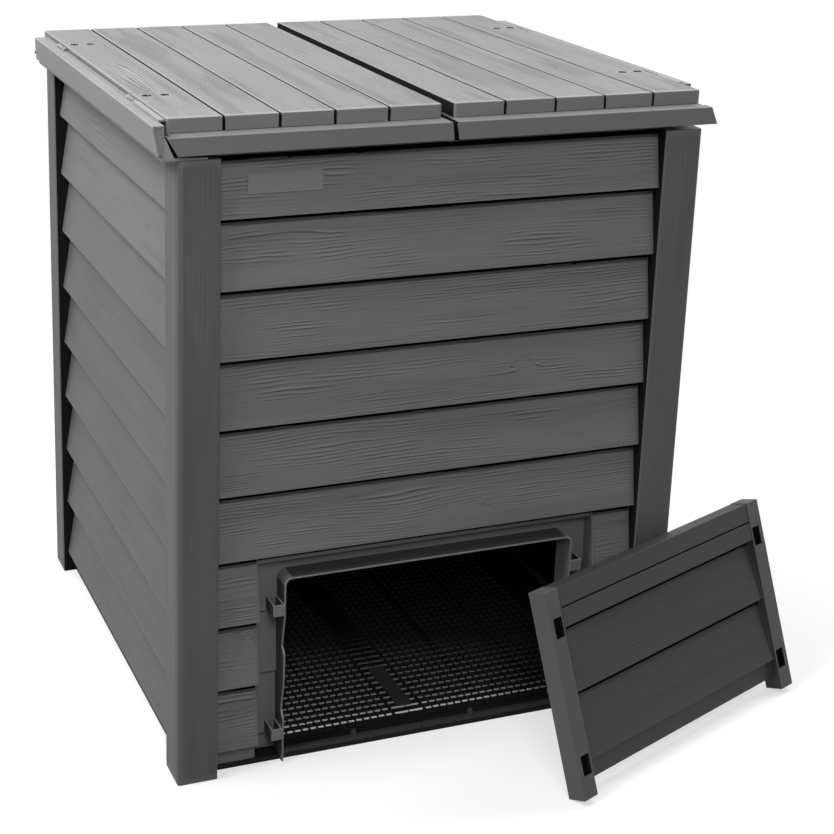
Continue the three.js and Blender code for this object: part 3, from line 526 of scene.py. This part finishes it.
class Shells:
    """Closed grained faces, gathered into one mesh. Faces that are nearly black take the shadow material."""

    def __init__(self):
        self.points, self.faces, self.tone, self.black, self.count = [], [], [], [], 0

    def add(self, points, normal, lift, tone, depth):
        """A grid of points with rows across and columns along the grain, lifted along one normal."""
        rows, columns = lift.shape
        front = points + normal * lift[..., None]
        ends = points[:, [0, -1]] - normal * depth
        index = self.count + np.arange(rows * columns).reshape(rows, columns)
        back = self.count + rows * columns + np.arange(rows * 2).reshape(rows, 2)
        low, high = slice(None, -1), slice(1, None)
        quads = [
            (index[low, low], index[low, high], index[high, high], index[high, low]),
            (index[low, 0], index[high, 0], back[high, 0], back[low, 0]),
            (index[high, -1], index[low, -1], back[low, 1], back[high, 1]),
            (back[low, 0], back[high, 0], back[high, 1], back[low, 1]),
        ]
        faces = [face for quad in quads for face in np.stack(quad, -1).reshape(-1, 4).tolist()]
        faces.append([*index[0][::-1].tolist(), int(back[0, 0]), int(back[0, 1])])
        faces.append([*index[-1].tolist(), int(back[-1, 1]), int(back[-1, 0])])
        turn = np.cross(points[0, 1] - points[0, 0], points[1, 0] - points[0, 0])
        if np.dot(turn, normal) < 0:
            faces = [face[::-1] for face in faces]
        corners = [tone[low, low], tone[low, high], tone[high, high], tone[high, low]]
        dark = (np.maximum.reduce(corners) < BLACK_FROM).ravel().astype(int).tolist()
        self.points += [front.reshape(-1, 3), ends.reshape(-1, 3)]
        self.faces += faces
        self.tone += [tone.ravel(), np.zeros(rows * 2)]
        self.black += dark + [0] * (len(faces) - len(dark))
        self.count += rows * columns + rows * 2

    def board(self, origin, along, across, normal, length, width, seed, style, holes=(), depth=SKIN_DEPTH):
        """A flat board's grained face. Origin is its corner. Along, across and normal are unit vectors."""
        style = STYLES[style]
        columns = steps(BORDER, length - BORDER, style["step"][0] * MM)
        rows = steps(BORDER, width - BORDER, style["step"][1] * MM)
        for at_u, at_w in holes:
            fine = steps(-HOLE_MESH, HOLE_MESH, HOLE_STEP)
            columns = np.concatenate([columns[abs(columns - at_u) > HOLE_ROOM], at_u + fine])
            rows = np.concatenate([rows[abs(rows - at_w) > HOLE_ROOM], at_w + fine])
        columns, rows = np.unique(columns.round(6)), np.unique(rows.round(6))
        w, u = np.meshgrid(rows, columns, indexing="ij")
        in_mm = [value / MM for value in (u, w, length, width)]
        relief, tone = wood_relief(*in_mm, seed, style)
        edge = np.minimum(np.minimum(u, length - u), np.minimum(w, width - w)) - BORDER
        fade = smooth_step(0, FADE, edge)
        # the rim's lighter tone is a painted highlight along the board's border
        tone = tone * fade + style["rim"] * (1 - smooth_step(*RIM_FADE, edge))
        if "crevice" in style:
            tone = overhung(tone, *in_mm, (wall_top - origin[2]) / MM, style)
        base = BASE_LIFT * (EDGE_LIFT + (1 - EDGE_LIFT) * smooth_step(0, FADE / 2, edge))
        lift = np.maximum(base + relief * fade * MM, LEAST_LIFT)
        for at_u, at_w in holes:
            away = np.hypot(u - at_u, w - at_w) / COUNTERBORE_RADIUS
            # painted shade in and just round each counterbore, and a painted highlight ring beyond it
            tone = np.where(away < DARK_TO, HOLE_SHADE, tone + HOLE_HIGHLIGHT * bell(away - RING_AT, RING_WIDTH))
            lift = np.where(away < 1, HOLE_INSET - COUNTERBORE_DEPTH, lift)
        origin, along, across, normal = (np.array(value, float) for value in (origin, along, across, normal))
        points = origin + along * u[..., None] + across * w[..., None]
        self.add(points, normal, lift, tone, depth)

    def make(self, name, material, body):
        mesh = shaped(name, np.concatenate(self.points).tolist(), self.faces, (material, gap_shade),
                      np.concatenate(self.tone))
        mesh.shade_smooth()
        mesh.set_sharp_from_angle(angle=SHARP)
        mesh.polygons.foreach_set("material_index", self.black)
        new_piece(name, mesh, body)


WALLS = {"front": 0, "right": math.pi / 2, "back": math.pi, "left": -math.pi / 2}
PANELS = {"top": ROWS_PER_PANEL, "middle": 2 * ROWS_PER_PANEL, "bottom": BOARD_ROWS}
CORNERS = ("front_left", "front_right", "back_right", "back_left")
SIDES = {"left": -1, "right": 1}
# Each board has a seed of its own, and its noises take the few after it. These are the first seeds
# of each kind. Walls are a thousand apart.
WALL_SEED, POST_SEED, LID_SEED, HATCH_SEED = 1000, 7000, 8000, 9000
SEED_STEP, ROW_SEEDS = 10, 100
RIGHT_SEEDS = 50  # added for the short boards at the right of the hatch opening


def turned(vector, angle):
    return Matrix.Rotation(angle, 3, "Z") @ Vector(vector)


def board_foot(row):
    """The height of a board's lower edge. Row 1 is the top one."""
    return LOWEST_BOARD + (BOARD_ROWS - row) * BOARD_PITCH


def wall_boards(shells, turn, low_row, start, end, seed, style):
    """The three lapped boards of a panel, from start to end along the wall."""
    across = turned((0, math.sin(BOARD_SLOPE), math.cos(BOARD_SLOPE)), turn)
    normal = turned((0, -math.cos(BOARD_SLOPE), math.sin(BOARD_SLOPE)), turn)
    along = turned((1, 0, 0), turn)
    for step in range(ROWS_PER_PANEL):
        foot = board_foot(low_row - step)
        width = min(BOARD_PITCH, wall_top - foot) / math.cos(BOARD_SLOPE)
        origin = turned((start, -tip_plane, foot), turn)
        shells.board(origin, along, across, normal, end - start, width, seed + SEED_STEP * step, style)


def wall_grain():
    for number, (wall, turn) in enumerate(WALLS.items()):
        material, style = (siding_x, "wall") if wall in ("front", "back") else (siding_y, "side")
        for panel, low_row in PANELS.items():
            seed = WALL_SEED * (number + 1) + ROW_SEEDS * low_row
            shells = Shells()
            if wall == "front" and panel == "bottom":
                wall_boards(shells, turn, low_row, -post_side, -SHORT_BOARD_END, seed, style)
                wall_boards(shells, turn, low_row, SHORT_BOARD_END, post_side, seed + RIGHT_SEEDS, style)
                shells.make("hatch_panel_grain", material, "bin")
                continue
            wall_boards(shells, turn, low_row, -post_side, post_side, seed, style)
            shells.make(f"{wall}_grain_{panel}", material, "bin")


def post_grain():
    """Two grained faces on each post, running up it."""
    width = POST_FACE - POST_CORNER
    faces = [((POST_CORNER - half, -half, 0), (1, 0, 0), (0, -1, 0)),
             ((-half, POST_CORNER - half, 0), (0, 1, 0), (-1, 0, 0))]
    for number, (corner, turn) in enumerate(zip(CORNERS, WALLS.values())):
        shells = Shells()
        for side, face in enumerate(faces):
            origin, across, normal = (turned(vector, turn) for vector in face)
            seed = POST_SEED + SEED_STEP * number + side
            shells.board(origin, (0, 0, 1), across, normal, wall_top, width, seed, "post")
        shells.make(f"post_{corner}_grain", post_z, "bin")


def lid_grain():
    """The lids' boards. The outer one has the screws' counterbores."""
    for name, side in SIDES.items():
        shells = Shells()
        for board in range(LID_BOARDS):
            outer = board == LID_BOARDS - 1
            start = LID_GAP + board * LID_BOARD + (SEAM / 2 if board else 0)
            end = LID_GAP + (board + 1) * LID_BOARD - (0 if outer else SEAM / 2)
            screws = [(y, x) for y in (-HINGE_PLACE, HINGE_PLACE) for x in SCREW_PLACES] if outer else []
            holes = [(LID_HALF_DEPTH + y, x - start) for y, x in screws]
            seed = LID_SEED + ROW_SEEDS * board + SEED_STEP * side
            shells.board((side * start, -LID_HALF_DEPTH, lid_top), (0, 1, 0), (side, 0, 0), (0, 0, 1),
                         2 * LID_HALF_DEPTH, end - start, seed, "lid",
                         holes, HOLED_DEPTH if outer else SKIN_DEPTH)
        shells.make(f"lid_{name}_grain", lid_y, f"lid_{name}")


def hatch_grain():
    """The hatch's two lapped boards, on its leaning face."""
    length = HATCH_WIDTH - 2 * HATCH_STILE
    shells = Shells()
    foot = HATCH_RIB_FOOT
    for number, height in enumerate(HATCH_BOARDS):
        foot -= height
        slope = math.atan2(HATCH_BOARD_BACK - HATCH_BOARD_FRONT, height)
        rise = hatch_up * math.cos(slope) + hatch_back * math.sin(slope)
        normal = hatch_up * math.sin(slope) - hatch_back * math.cos(slope)
        origin = HATCH_CORNER + hatch_across * HATCH_STILE + hatch_up * foot + hatch_back * HATCH_BOARD_FRONT
        shells.board(origin, hatch_across, rise, normal, length, height / math.cos(slope),
                     HATCH_SEED + SEED_STEP * number, "hatch")
    shells.make("hatch_grain", hatch_x, "hatch")


# Floor mesh

BOX_CORNERS = [(0, 0, 0), (1, 0, 0), (1, 1, 0), (0, 1, 0), (0, 0, 1), (1, 0, 1), (1, 1, 1), (0, 1, 1)]
BOX_FACES = [(3, 2, 1, 0), (4, 5, 6, 7), (0, 1, 5, 4), (1, 2, 6, 5), (2, 3, 7, 6), (3, 0, 4, 7)]


def blocks(name, boxes, material):
    """Many small blocks in one mesh. Each is a corner, a size, how much its top is drawn in, and a tone."""
    points, faces, tones = [], [], []
    for corner, size, draw, tone in boxes:
        tones += [tone] * len(BOX_CORNERS)
        base = len(points)
        for a, b, c in BOX_CORNERS:
            inward = ((0.5 - a) * 2 * draw * c, (0.5 - b) * 2 * draw * c, 0)
            points.append(tuple(corner[i] + (a, b, c)[i] * size[i] + inward[i] for i in range(3)))
        faces += [tuple(base + i for i in face) for face in BOX_FACES]
    new_piece(name, shaped(name, points, faces, (material,), tones), "bin")


def bar_tone(x, y):
    """The bars' tops get painted light at the hatch, and painted shade towards the back."""
    depth = y + BAR_SLANT * max(0, x + FLOOR_HALF)
    painted_light = 1 + BAR_PAINTED_LIGHT * (1 - float(smooth_step(*PAINTED_LIGHT_FADE, y)))
    return painted_light * (1 + BAR_PAINTED_SHADE * float(smooth_step(*BAR_FADE, depth))) - 1


def raised_bars(side, near, far, tone_at):
    """A bar on each of the CAD panels' cross bars, from near to far of the centre line."""
    low = min(side * near, side * far)
    first = -(BAR_ROWS * BAR_PITCH - BAR_WIDTH) / 2
    size = (far - near, BAR_WIDTH - 2 * BAR_INSET, BAR_RISE + SINK)
    places = [first + row * BAR_PITCH - BAR_WIDTH + BAR_INSET for row in range(1, BAR_ROWS)]
    return [((low, y, FLOOR_TOP - SINK), size, BAR_DRAW, bar_tone(tone_at, y)) for y in places]


def floor_mesh():
    """Fine ribs from front to back between the CAD panels' cross bars, and raised bars on top of those,
    whose light tops are a painted highlight.
    """
    for name, side in SIDES.items():
        ribs, bars = [], []
        for x in np.arange(RIB_START, RIB_END, RIB_PITCH):
            low = min(side * x, side * (x + RIB_WIDTH))
            size = (RIB_WIDTH, 2 * FLOOR_HALF, RIB_TOP - RIB_FOOT)
            ribs.append(((low, -FLOOR_HALF, RIB_FOOT), size, 0, 0))
            bars += raised_bars(side, x + RIB_WIDTH + BAR_GAP, x + RIB_PITCH - BAR_GAP, side * x)
        bars += raised_bars(side, *MIDDLE_BAR, 0)
        blocks(f"floor_ribs_{name}", ribs, grating_plastic)
        blocks(f"floor_bars_{name}", bars, grating_tops)


# Trim, painted shade line and plate

def rectangle(left, right, low, high):
    return [(left, low), (right, low), (right, high), (left, high)]


def prism(name, outline, near, far, material):
    """A closed prism of an outline in x and z, from one y to another."""
    count = len(outline)
    points = [(x, y, z) for y in (near, far) for x, z in outline]
    faces = [tuple(range(count)), tuple(range(2 * count - 1, count - 1, -1))]
    faces += [((i + 1) % count, i, count + i, count + (i + 1) % count) for i in range(count)]
    new_piece(name, shaped(name, points, faces, (material,)), "bin")


def rail_trim():
    """Strips over the gap in front of the front hinges, and the corner at the left rail's front end."""
    for name, side in SIDES.items():
        rail_low, rail_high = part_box(f"hinge_rail_{name}")
        top = rail_high.z - TRIM_SINK
        left, right = sorted((side * GAP_START, side * GAP_END))
        prism(f"rail_trim_{name}", rectangle(left, right, top - TRIM_THICKNESS, top),
              max(rail_low.y + SINK, -LID_HALF_DEPTH), -HINGE_PLACE - HINGE_ROOM, rail_y)
        if side < 0:
            outer, foot = -GAP_END - CORNER_REACH, wall_top + SINK
            outline = [(outer, foot), (LIP_END_FOOT - TRIM_GAP, foot), (LIP_END_TOP - TRIM_GAP, LIP_TOP),
                       (outer, LIP_TOP)]
            prism("rail_corner", outline, rail_low.y + SINK, rail_low.y + TRIM_THICKNESS, rail_y)


def header_shade():
    """Painted shade: a black line under the lowest whole board, over the hatch panel."""
    end = SHORT_BOARD_END - HEADER_INSET
    prism("header_shade", rectangle(-end, end, HEADER_LOW, HEADER_HIGH),
          HEADER_FRONT - tip_plane, HEADER_BACK - tip_plane, gap_shade)


def bare_plate():
    """The plain raised plate on the top front board, with a thin rim and nothing on it."""
    up = Vector((0, math.sin(BOARD_SLOPE), math.cos(BOARD_SLOPE)))
    out = Vector((0, -math.cos(BOARD_SLOPE), math.sin(BOARD_SLOPE)))
    foot = Vector((0, -tip_plane, board_foot(1)))
    points = []
    for inward, rise in PLATE_RINGS:
        left, right = PLATE_LEFT + inward * MM, PLATE_LEFT + PLATE_SIZE[0] - inward * MM
        low, high = PLATE_FOOT + inward * MM, PLATE_FOOT + PLATE_SIZE[1] - inward * MM
        for x, w in rectangle(left, right, low, high):
            points.append(Vector((x, 0, 0)) + foot + up * w + out * (rise * MM))
    faces = [(3, 2, 1, 0), tuple(range(len(points) - 4, len(points)))]
    for base in range(0, len(points) - 4, 4):
        faces += [(base + i, base + (i + 1) % 4, base + 4 + (i + 1) % 4, base + 4 + i) for i in range(4)]
    made = new_piece("bare_plate", shaped("bare_plate", points, faces, (plate_plastic,)), "bin")
    soften = made.modifiers.new("edges", "BEVEL")
    soften.width = PLATE_EDGE
    soften.segments = 2


# The CAD pieces' finish. Tests of a face's centre and normal find the faces with another material.

# The least share of a normal along a direction, for a face that looks that way
SLIGHT, HALFWAY, SQUARE, UPWARD = 0.3, 0.5, 0.9, 0.95
SEAM_REACH, SEAM_WALL = 0.6, 1.2  # how far from a seam's middle and top its faces are, in widths and depths
WELD = 0.02 * MM
EDGE_ANGLE = math.radians(38)


def faces_inward(centre, normal):
    """True on the faces that look at the inside of the bin, which take painted shade."""
    beyond, across = (centre.x, normal.x) if abs(centre.x) > abs(centre.y) else (centre.y, normal.y)
    return across * beyond < 0 and abs(across) > SLIGHT


def beside_boards(centre, normal):
    """True on the post's faces next to the boards' ends, which take painted shade."""
    toward = max(-normal.x * math.copysign(1, centre.x), -normal.y * math.copysign(1, centre.y))
    return toward > SQUARE and max(abs(centre.x), abs(centre.y)) > half - POST_FACE / 2


def from_collar(centre):
    """How far a point lies outside the collar's arch, seen from the front."""
    across, up = abs(centre.x) - COLLAR_HALF + COLLAR_RADIUS, centre.z - COLLAR_TOP + COLLAR_RADIUS
    if across > 0 and up > 0:
        return math.hypot(across, up) - COLLAR_RADIUS
    return max(across, up) - COLLAR_RADIUS


def on_collar_rim(centre, normal):
    """True on the collar's front edge and on the hooks' upper edges."""
    out = from_collar(centre)
    fore = normal.y < -HALFWAY and centre.y < COLLAR_BACK - tip_plane
    edge = fore and -COLLAR_INSIDE < out < COLLAR_SKIN
    level = min(abs(centre.z - rim) for rim in HOOK_RIMS) < TOLERANCE / 2
    return edge or normal.z > SQUARE and out > 0 and level


def beside_collar(centre, normal):
    """True on the collar's and the hooks' sides, in front of the recessed sheet."""
    near = from_collar(centre) > -COLLAR_SKIN and abs(centre.x) < SHORT_BOARD_END - 2 * TOLERANCE
    side = abs(normal.y) < HALFWAY and (normal.z < UPWARD or centre.z > COLLAR_TOP - TOLERANCE)
    return near and side and centre.y < RECESS_BACK - tip_plane and centre.z < RECESS_TOP


def over_floor(centre, normal):
    """True on the two wedges that stand up from the floor's front."""
    return centre.z > FLOOR_TOP + TOLERANCE


def in_seam(centre, normal):
    """True in the grooves between a lid's boards, also down its front, and in the gap between the lids,
    which take painted shade.
    """
    boards = (abs(centre.x) - LID_GAP) / LID_BOARD
    sideways = abs(normal.x) > SQUARE
    if abs(centre.x) < LID_GAP + TOLERANCE and sideways:
        return True
    if abs(boards - round(boards)) * LID_BOARD >= SEAM_REACH * SEAM or not 0 < round(boards) < LID_BOARDS:
        return False
    front = abs(centre.y) > LID_HALF_DEPTH - SEAM_DEPTH and centre.z > lid_top - LID_LAYER
    floor = normal.z > SQUARE and centre.z < lid_top - SEAM_DEPTH / 2
    wall = sideways and centre.z > lid_top - SEAM_WALL * SEAM_DEPTH
    return front or floor or wall


def on_lip(centre, normal):
    """True on the lids' sloped lips, front and back."""
    return centre.z < lid_top - LID_LAYER - TOLERANCE and abs(centre.y) > LID_HALF_DEPTH


# the undersides, which take painted shade
def underneath(centre, normal):
    return normal.z < -SLIGHT


def on_stile(centre, normal):
    """True on the hatch's two stiles."""
    along = (centre - HATCH_CORNER).dot(hatch_across)
    return not HATCH_STILE < along < HATCH_WIDTH - HATCH_STILE


def in_slot(centre, normal):
    """True on the walls of the hatch's four slots, and in the groove across its top, which take painted
    shade.
    """
    along, rise = (centre - HATCH_CORNER).dot(hatch_across), (centre - HATCH_CORNER).dot(hatch_up)
    inset = min(along, HATCH_WIDTH - along)
    groove = inset > HATCH_STILE - TOLERANCE and abs(rise - HATCH_GROOVE) < GROOVE_HALF
    within = SLOT_MARGIN < inset < HATCH_STILE - SLOT_MARGIN and SLOT_LOW < rise < SLOT_HIGH
    return groove or within and abs(normal.dot(hatch_back)) < SLIGHT


# By the start of a piece's name, the first that fits: its material, its bevel in millimetres,
# and the other materials with their tests, of which the last that is true counts
# Of the other materials, the near-black inside and gap ones, collar_side, lip_x and hatch_frame are painted
# shade, and collar_rim is a painted highlight
FINISHES = [
    ("post_", post_z, 0.6, [(inner_shade, faces_inward), (gap_shade, beside_boards)]),
    ("hatch_panel", siding_x, 0.7,
     [(inner_shade, faces_inward), (collar_rim, on_collar_rim), (collar_side, beside_collar)]),
    (("front_panel", "back_panel"), siding_x, 0.7, [(inner_shade, faces_inward)]),
    (("left_panel", "right_panel"), siding_y, 0.7, [(inner_shade, faces_inward)]),
    ("lid_", lid_x, 0.8, [(inner_shade, underneath), (gap_shade, in_seam), (lip_x, on_lip)]),
    ("hinge_rail", rail_y, 0.5, [(inner_shade, underneath)]),
    ("floor_panel", grating_plastic, 0.5, [(clip_plastic, over_floor)]),
    ("floor_clip", clip_plastic, 0.5, []),
    ("hatch", hatch_x, 0.9, [(hatch_frame, on_stile), (gap_shade, in_slot)]),
    ("screw_", coated, 0.3, []),
    (("hinge_strap", "hinge_pin"), zinc, 0.3, []),
]


def dress(piece, material, bevel_width, others):
    piece.data.materials.clear()
    piece.data.materials.append(material)
    for index, (other, test) in enumerate(others, 1):
        piece.data.materials.append(other)
        for face in piece.data.polygons:
            if test(face.center, face.normal):
                face.material_index = index
    weld = piece.modifiers.new("weld", "WELD")
    weld.merge_threshold = WELD
    bevel = piece.modifiers.new("edges", "BEVEL")
    bevel.width = bevel_width
    bevel.segments = 2
    bevel.limit_method = "ANGLE"
    bevel.angle_limit = EDGE_ANGLE
    bevel.use_clamp_overlap = False
    bevel.harden_normals = True


def dress_all():
    for name, piece in frame["nodes"].items():
        finish = next(finish for finish in FINISHES if name.startswith(finish[0]))
        dress(piece, finish[1], finish[2] * MM, finish[3])


# Camera: solved from the photograph's edges, in the 834-pixel frame
IMAGE = 834
FOCAL_PIXELS = 1786.0
CENTRE = Vector((-1026.0, -2563.3, 1453.9)) * MM
YAW, PITCH, ROLL = 0.3649, 0.2886, 0.0223
SHIFT = (0.12, -0.18)
SENSOR = 36


def camera():
    data = bpy.data.cameras.new("camera")
    data.sensor_width = SENSOR
    data.lens = FOCAL_PIXELS / IMAGE * SENSOR
    data.shift_x, data.shift_y = SHIFT
    ahead = Vector((math.sin(YAW), math.cos(YAW), 0))
    right = Vector((math.cos(YAW), -math.sin(YAW), 0))
    top = Vector((0, 0, 1))
    forward = ahead * math.cos(PITCH) - top * math.sin(PITCH)
    up = top * math.cos(PITCH) + ahead * math.sin(PITCH)
    rolled_right = right * math.cos(ROLL) + up * math.sin(ROLL)
    rolled_up = up * math.cos(ROLL) - right * math.sin(ROLL)
    turn = Matrix((rolled_right, rolled_up, -forward)).transposed()
    made = scene_object("camera", data)
    made.matrix_world = Matrix.Translation(CENTRE) @ turn.to_4x4()
    bpy.context.scene.camera = made


# Studio: the lights' place, target, size and power
LIGHTS = {
    "left": ((-1.9, -0.5, 2.6), (-0.2, 0, 0.6), 1.2, 72),
    "front": ((-0.8, -3.0, 2.6), (0, 0, 0.5), 1.2, 50),
    "top": ((1.9, 0.3, 2.6), (0.1, 0, 0.97), 1.4, 54),
    "back": ((-1.4, 3.0, 2.4), (0, 0, 0.5), 1.6, 70),
}
WHITE = (1, 1, 1, 1)
AMBIENT = 0.25
FLOOR_RADIUS, FLOOR_SIDES = 14, 64
FLOOR_DROP = 0.5 * MM
FLOOR_WHITE = 0.93
BOUNCE = 0.12  # the floor's colour for the light that it throws on the bin
SHADOW_FADE = (0.7, 1.9)
SHADOW_SHARE = 0.45  # how much of the floor's own shading the camera sees near the bin


def lights():
    for name, (place, target, size, watts) in LIGHTS.items():
        data = bpy.data.lights.new(name, "AREA")
        data.size = size
        data.energy = watts
        made = scene_object(name, data)
        made.location = place
        made.rotation_euler = (Vector(target) - Vector(place)).to_track_quat("-Z", "Y").to_euler()


def seen(tree):
    """1 for the rays of the camera, of gloss and of glass, and 0 for those that light the bin."""
    rays = node(tree, "ShaderNodeLightPath", (-500, -300)).outputs
    either = math_node(tree, "MAXIMUM", rays["Is Camera Ray"], rays["Is Glossy Ray"], (-300, -300))
    return math_node(tree, "MAXIMUM", either, rays["Is Transmission Ray"], (-140, -300))


def mixed(tree, share, first, second, output):
    """Two shaders mixed into the tree's output."""
    mix = node(tree, "ShaderNodeMixShader", (700, 0))
    tree.links.new(share, mix.inputs["Fac"])
    tree.links.new(first.outputs[0], mix.inputs[1])
    tree.links.new(second.outputs[0], mix.inputs[2])
    tree.links.new(mix.outputs[0], node(tree, output, (900, 0)).inputs["Surface"])


def world():
    """White where it is seen, and a weaker light on the bin."""
    made = bpy.data.worlds.new("studio")
    made.use_nodes = True
    bpy.context.scene.world = made
    tree = made.node_tree
    tree.nodes.clear()
    ambient = node(tree, "ShaderNodeBackground", (200, 100))
    white = node(tree, "ShaderNodeBackground", (200, -100))
    ambient.inputs["Color"].default_value = white.inputs["Color"].default_value = WHITE
    ambient.inputs["Strength"].default_value = AMBIENT
    mixed(tree, seen(tree), ambient, white, "ShaderNodeOutputWorld")


def floor():
    """A pale round floor with a soft shadow, which fades into the white background away from the bin."""
    material = bpy.data.materials.new("pale_floor")
    material.use_nodes = True
    tree = material.node_tree
    tree.nodes.clear()
    matte = node(tree, "ShaderNodeBsdfDiffuse", (400, 100))
    white = node(tree, "ShaderNodeEmission", (400, -100))
    visible = seen(tree)
    shade = map_range(tree, visible, (0, 1), (BOUNCE, FLOOR_WHITE), (100, 200))
    tree.links.new(shade, matte.inputs["Color"])
    place = node(tree, "ShaderNodeTexCoord", (-700, 0)).outputs["Object"]
    away = node(tree, "ShaderNodeVectorMath", (-500, 0), operation="LENGTH")
    tree.links.new(place, away.inputs[0])
    fade = map_range(tree, away.outputs["Value"], SHADOW_FADE, (1 - SHADOW_SHARE, 1), (-300, 0),
                     interpolation_type="SMOOTHSTEP")
    share = math_node(tree, "MULTIPLY", fade, visible, (300, -200))
    mixed(tree, share, matte, white, "ShaderNodeOutputMaterial")
    angles = [math.tau * side / FLOOR_SIDES for side in range(FLOOR_SIDES)]
    ring = [(FLOOR_RADIUS * math.cos(angle), FLOOR_RADIUS * math.sin(angle), 0) for angle in angles]
    mesh = shaped("studio_floor", ring, [tuple(range(FLOOR_SIDES))], (material,))
    made = scene_object("studio_floor", mesh)
    made.location.z = -FLOOR_DROP


dress_all()
wall_grain()
post_grain()
lid_grain()
hatch_grain()
bare_plate()
rail_trim()
header_shade()
floor_mesh()
camera()
world()
floor()
lights()
bpy.context.scene.view_settings.view_transform = "Standard"
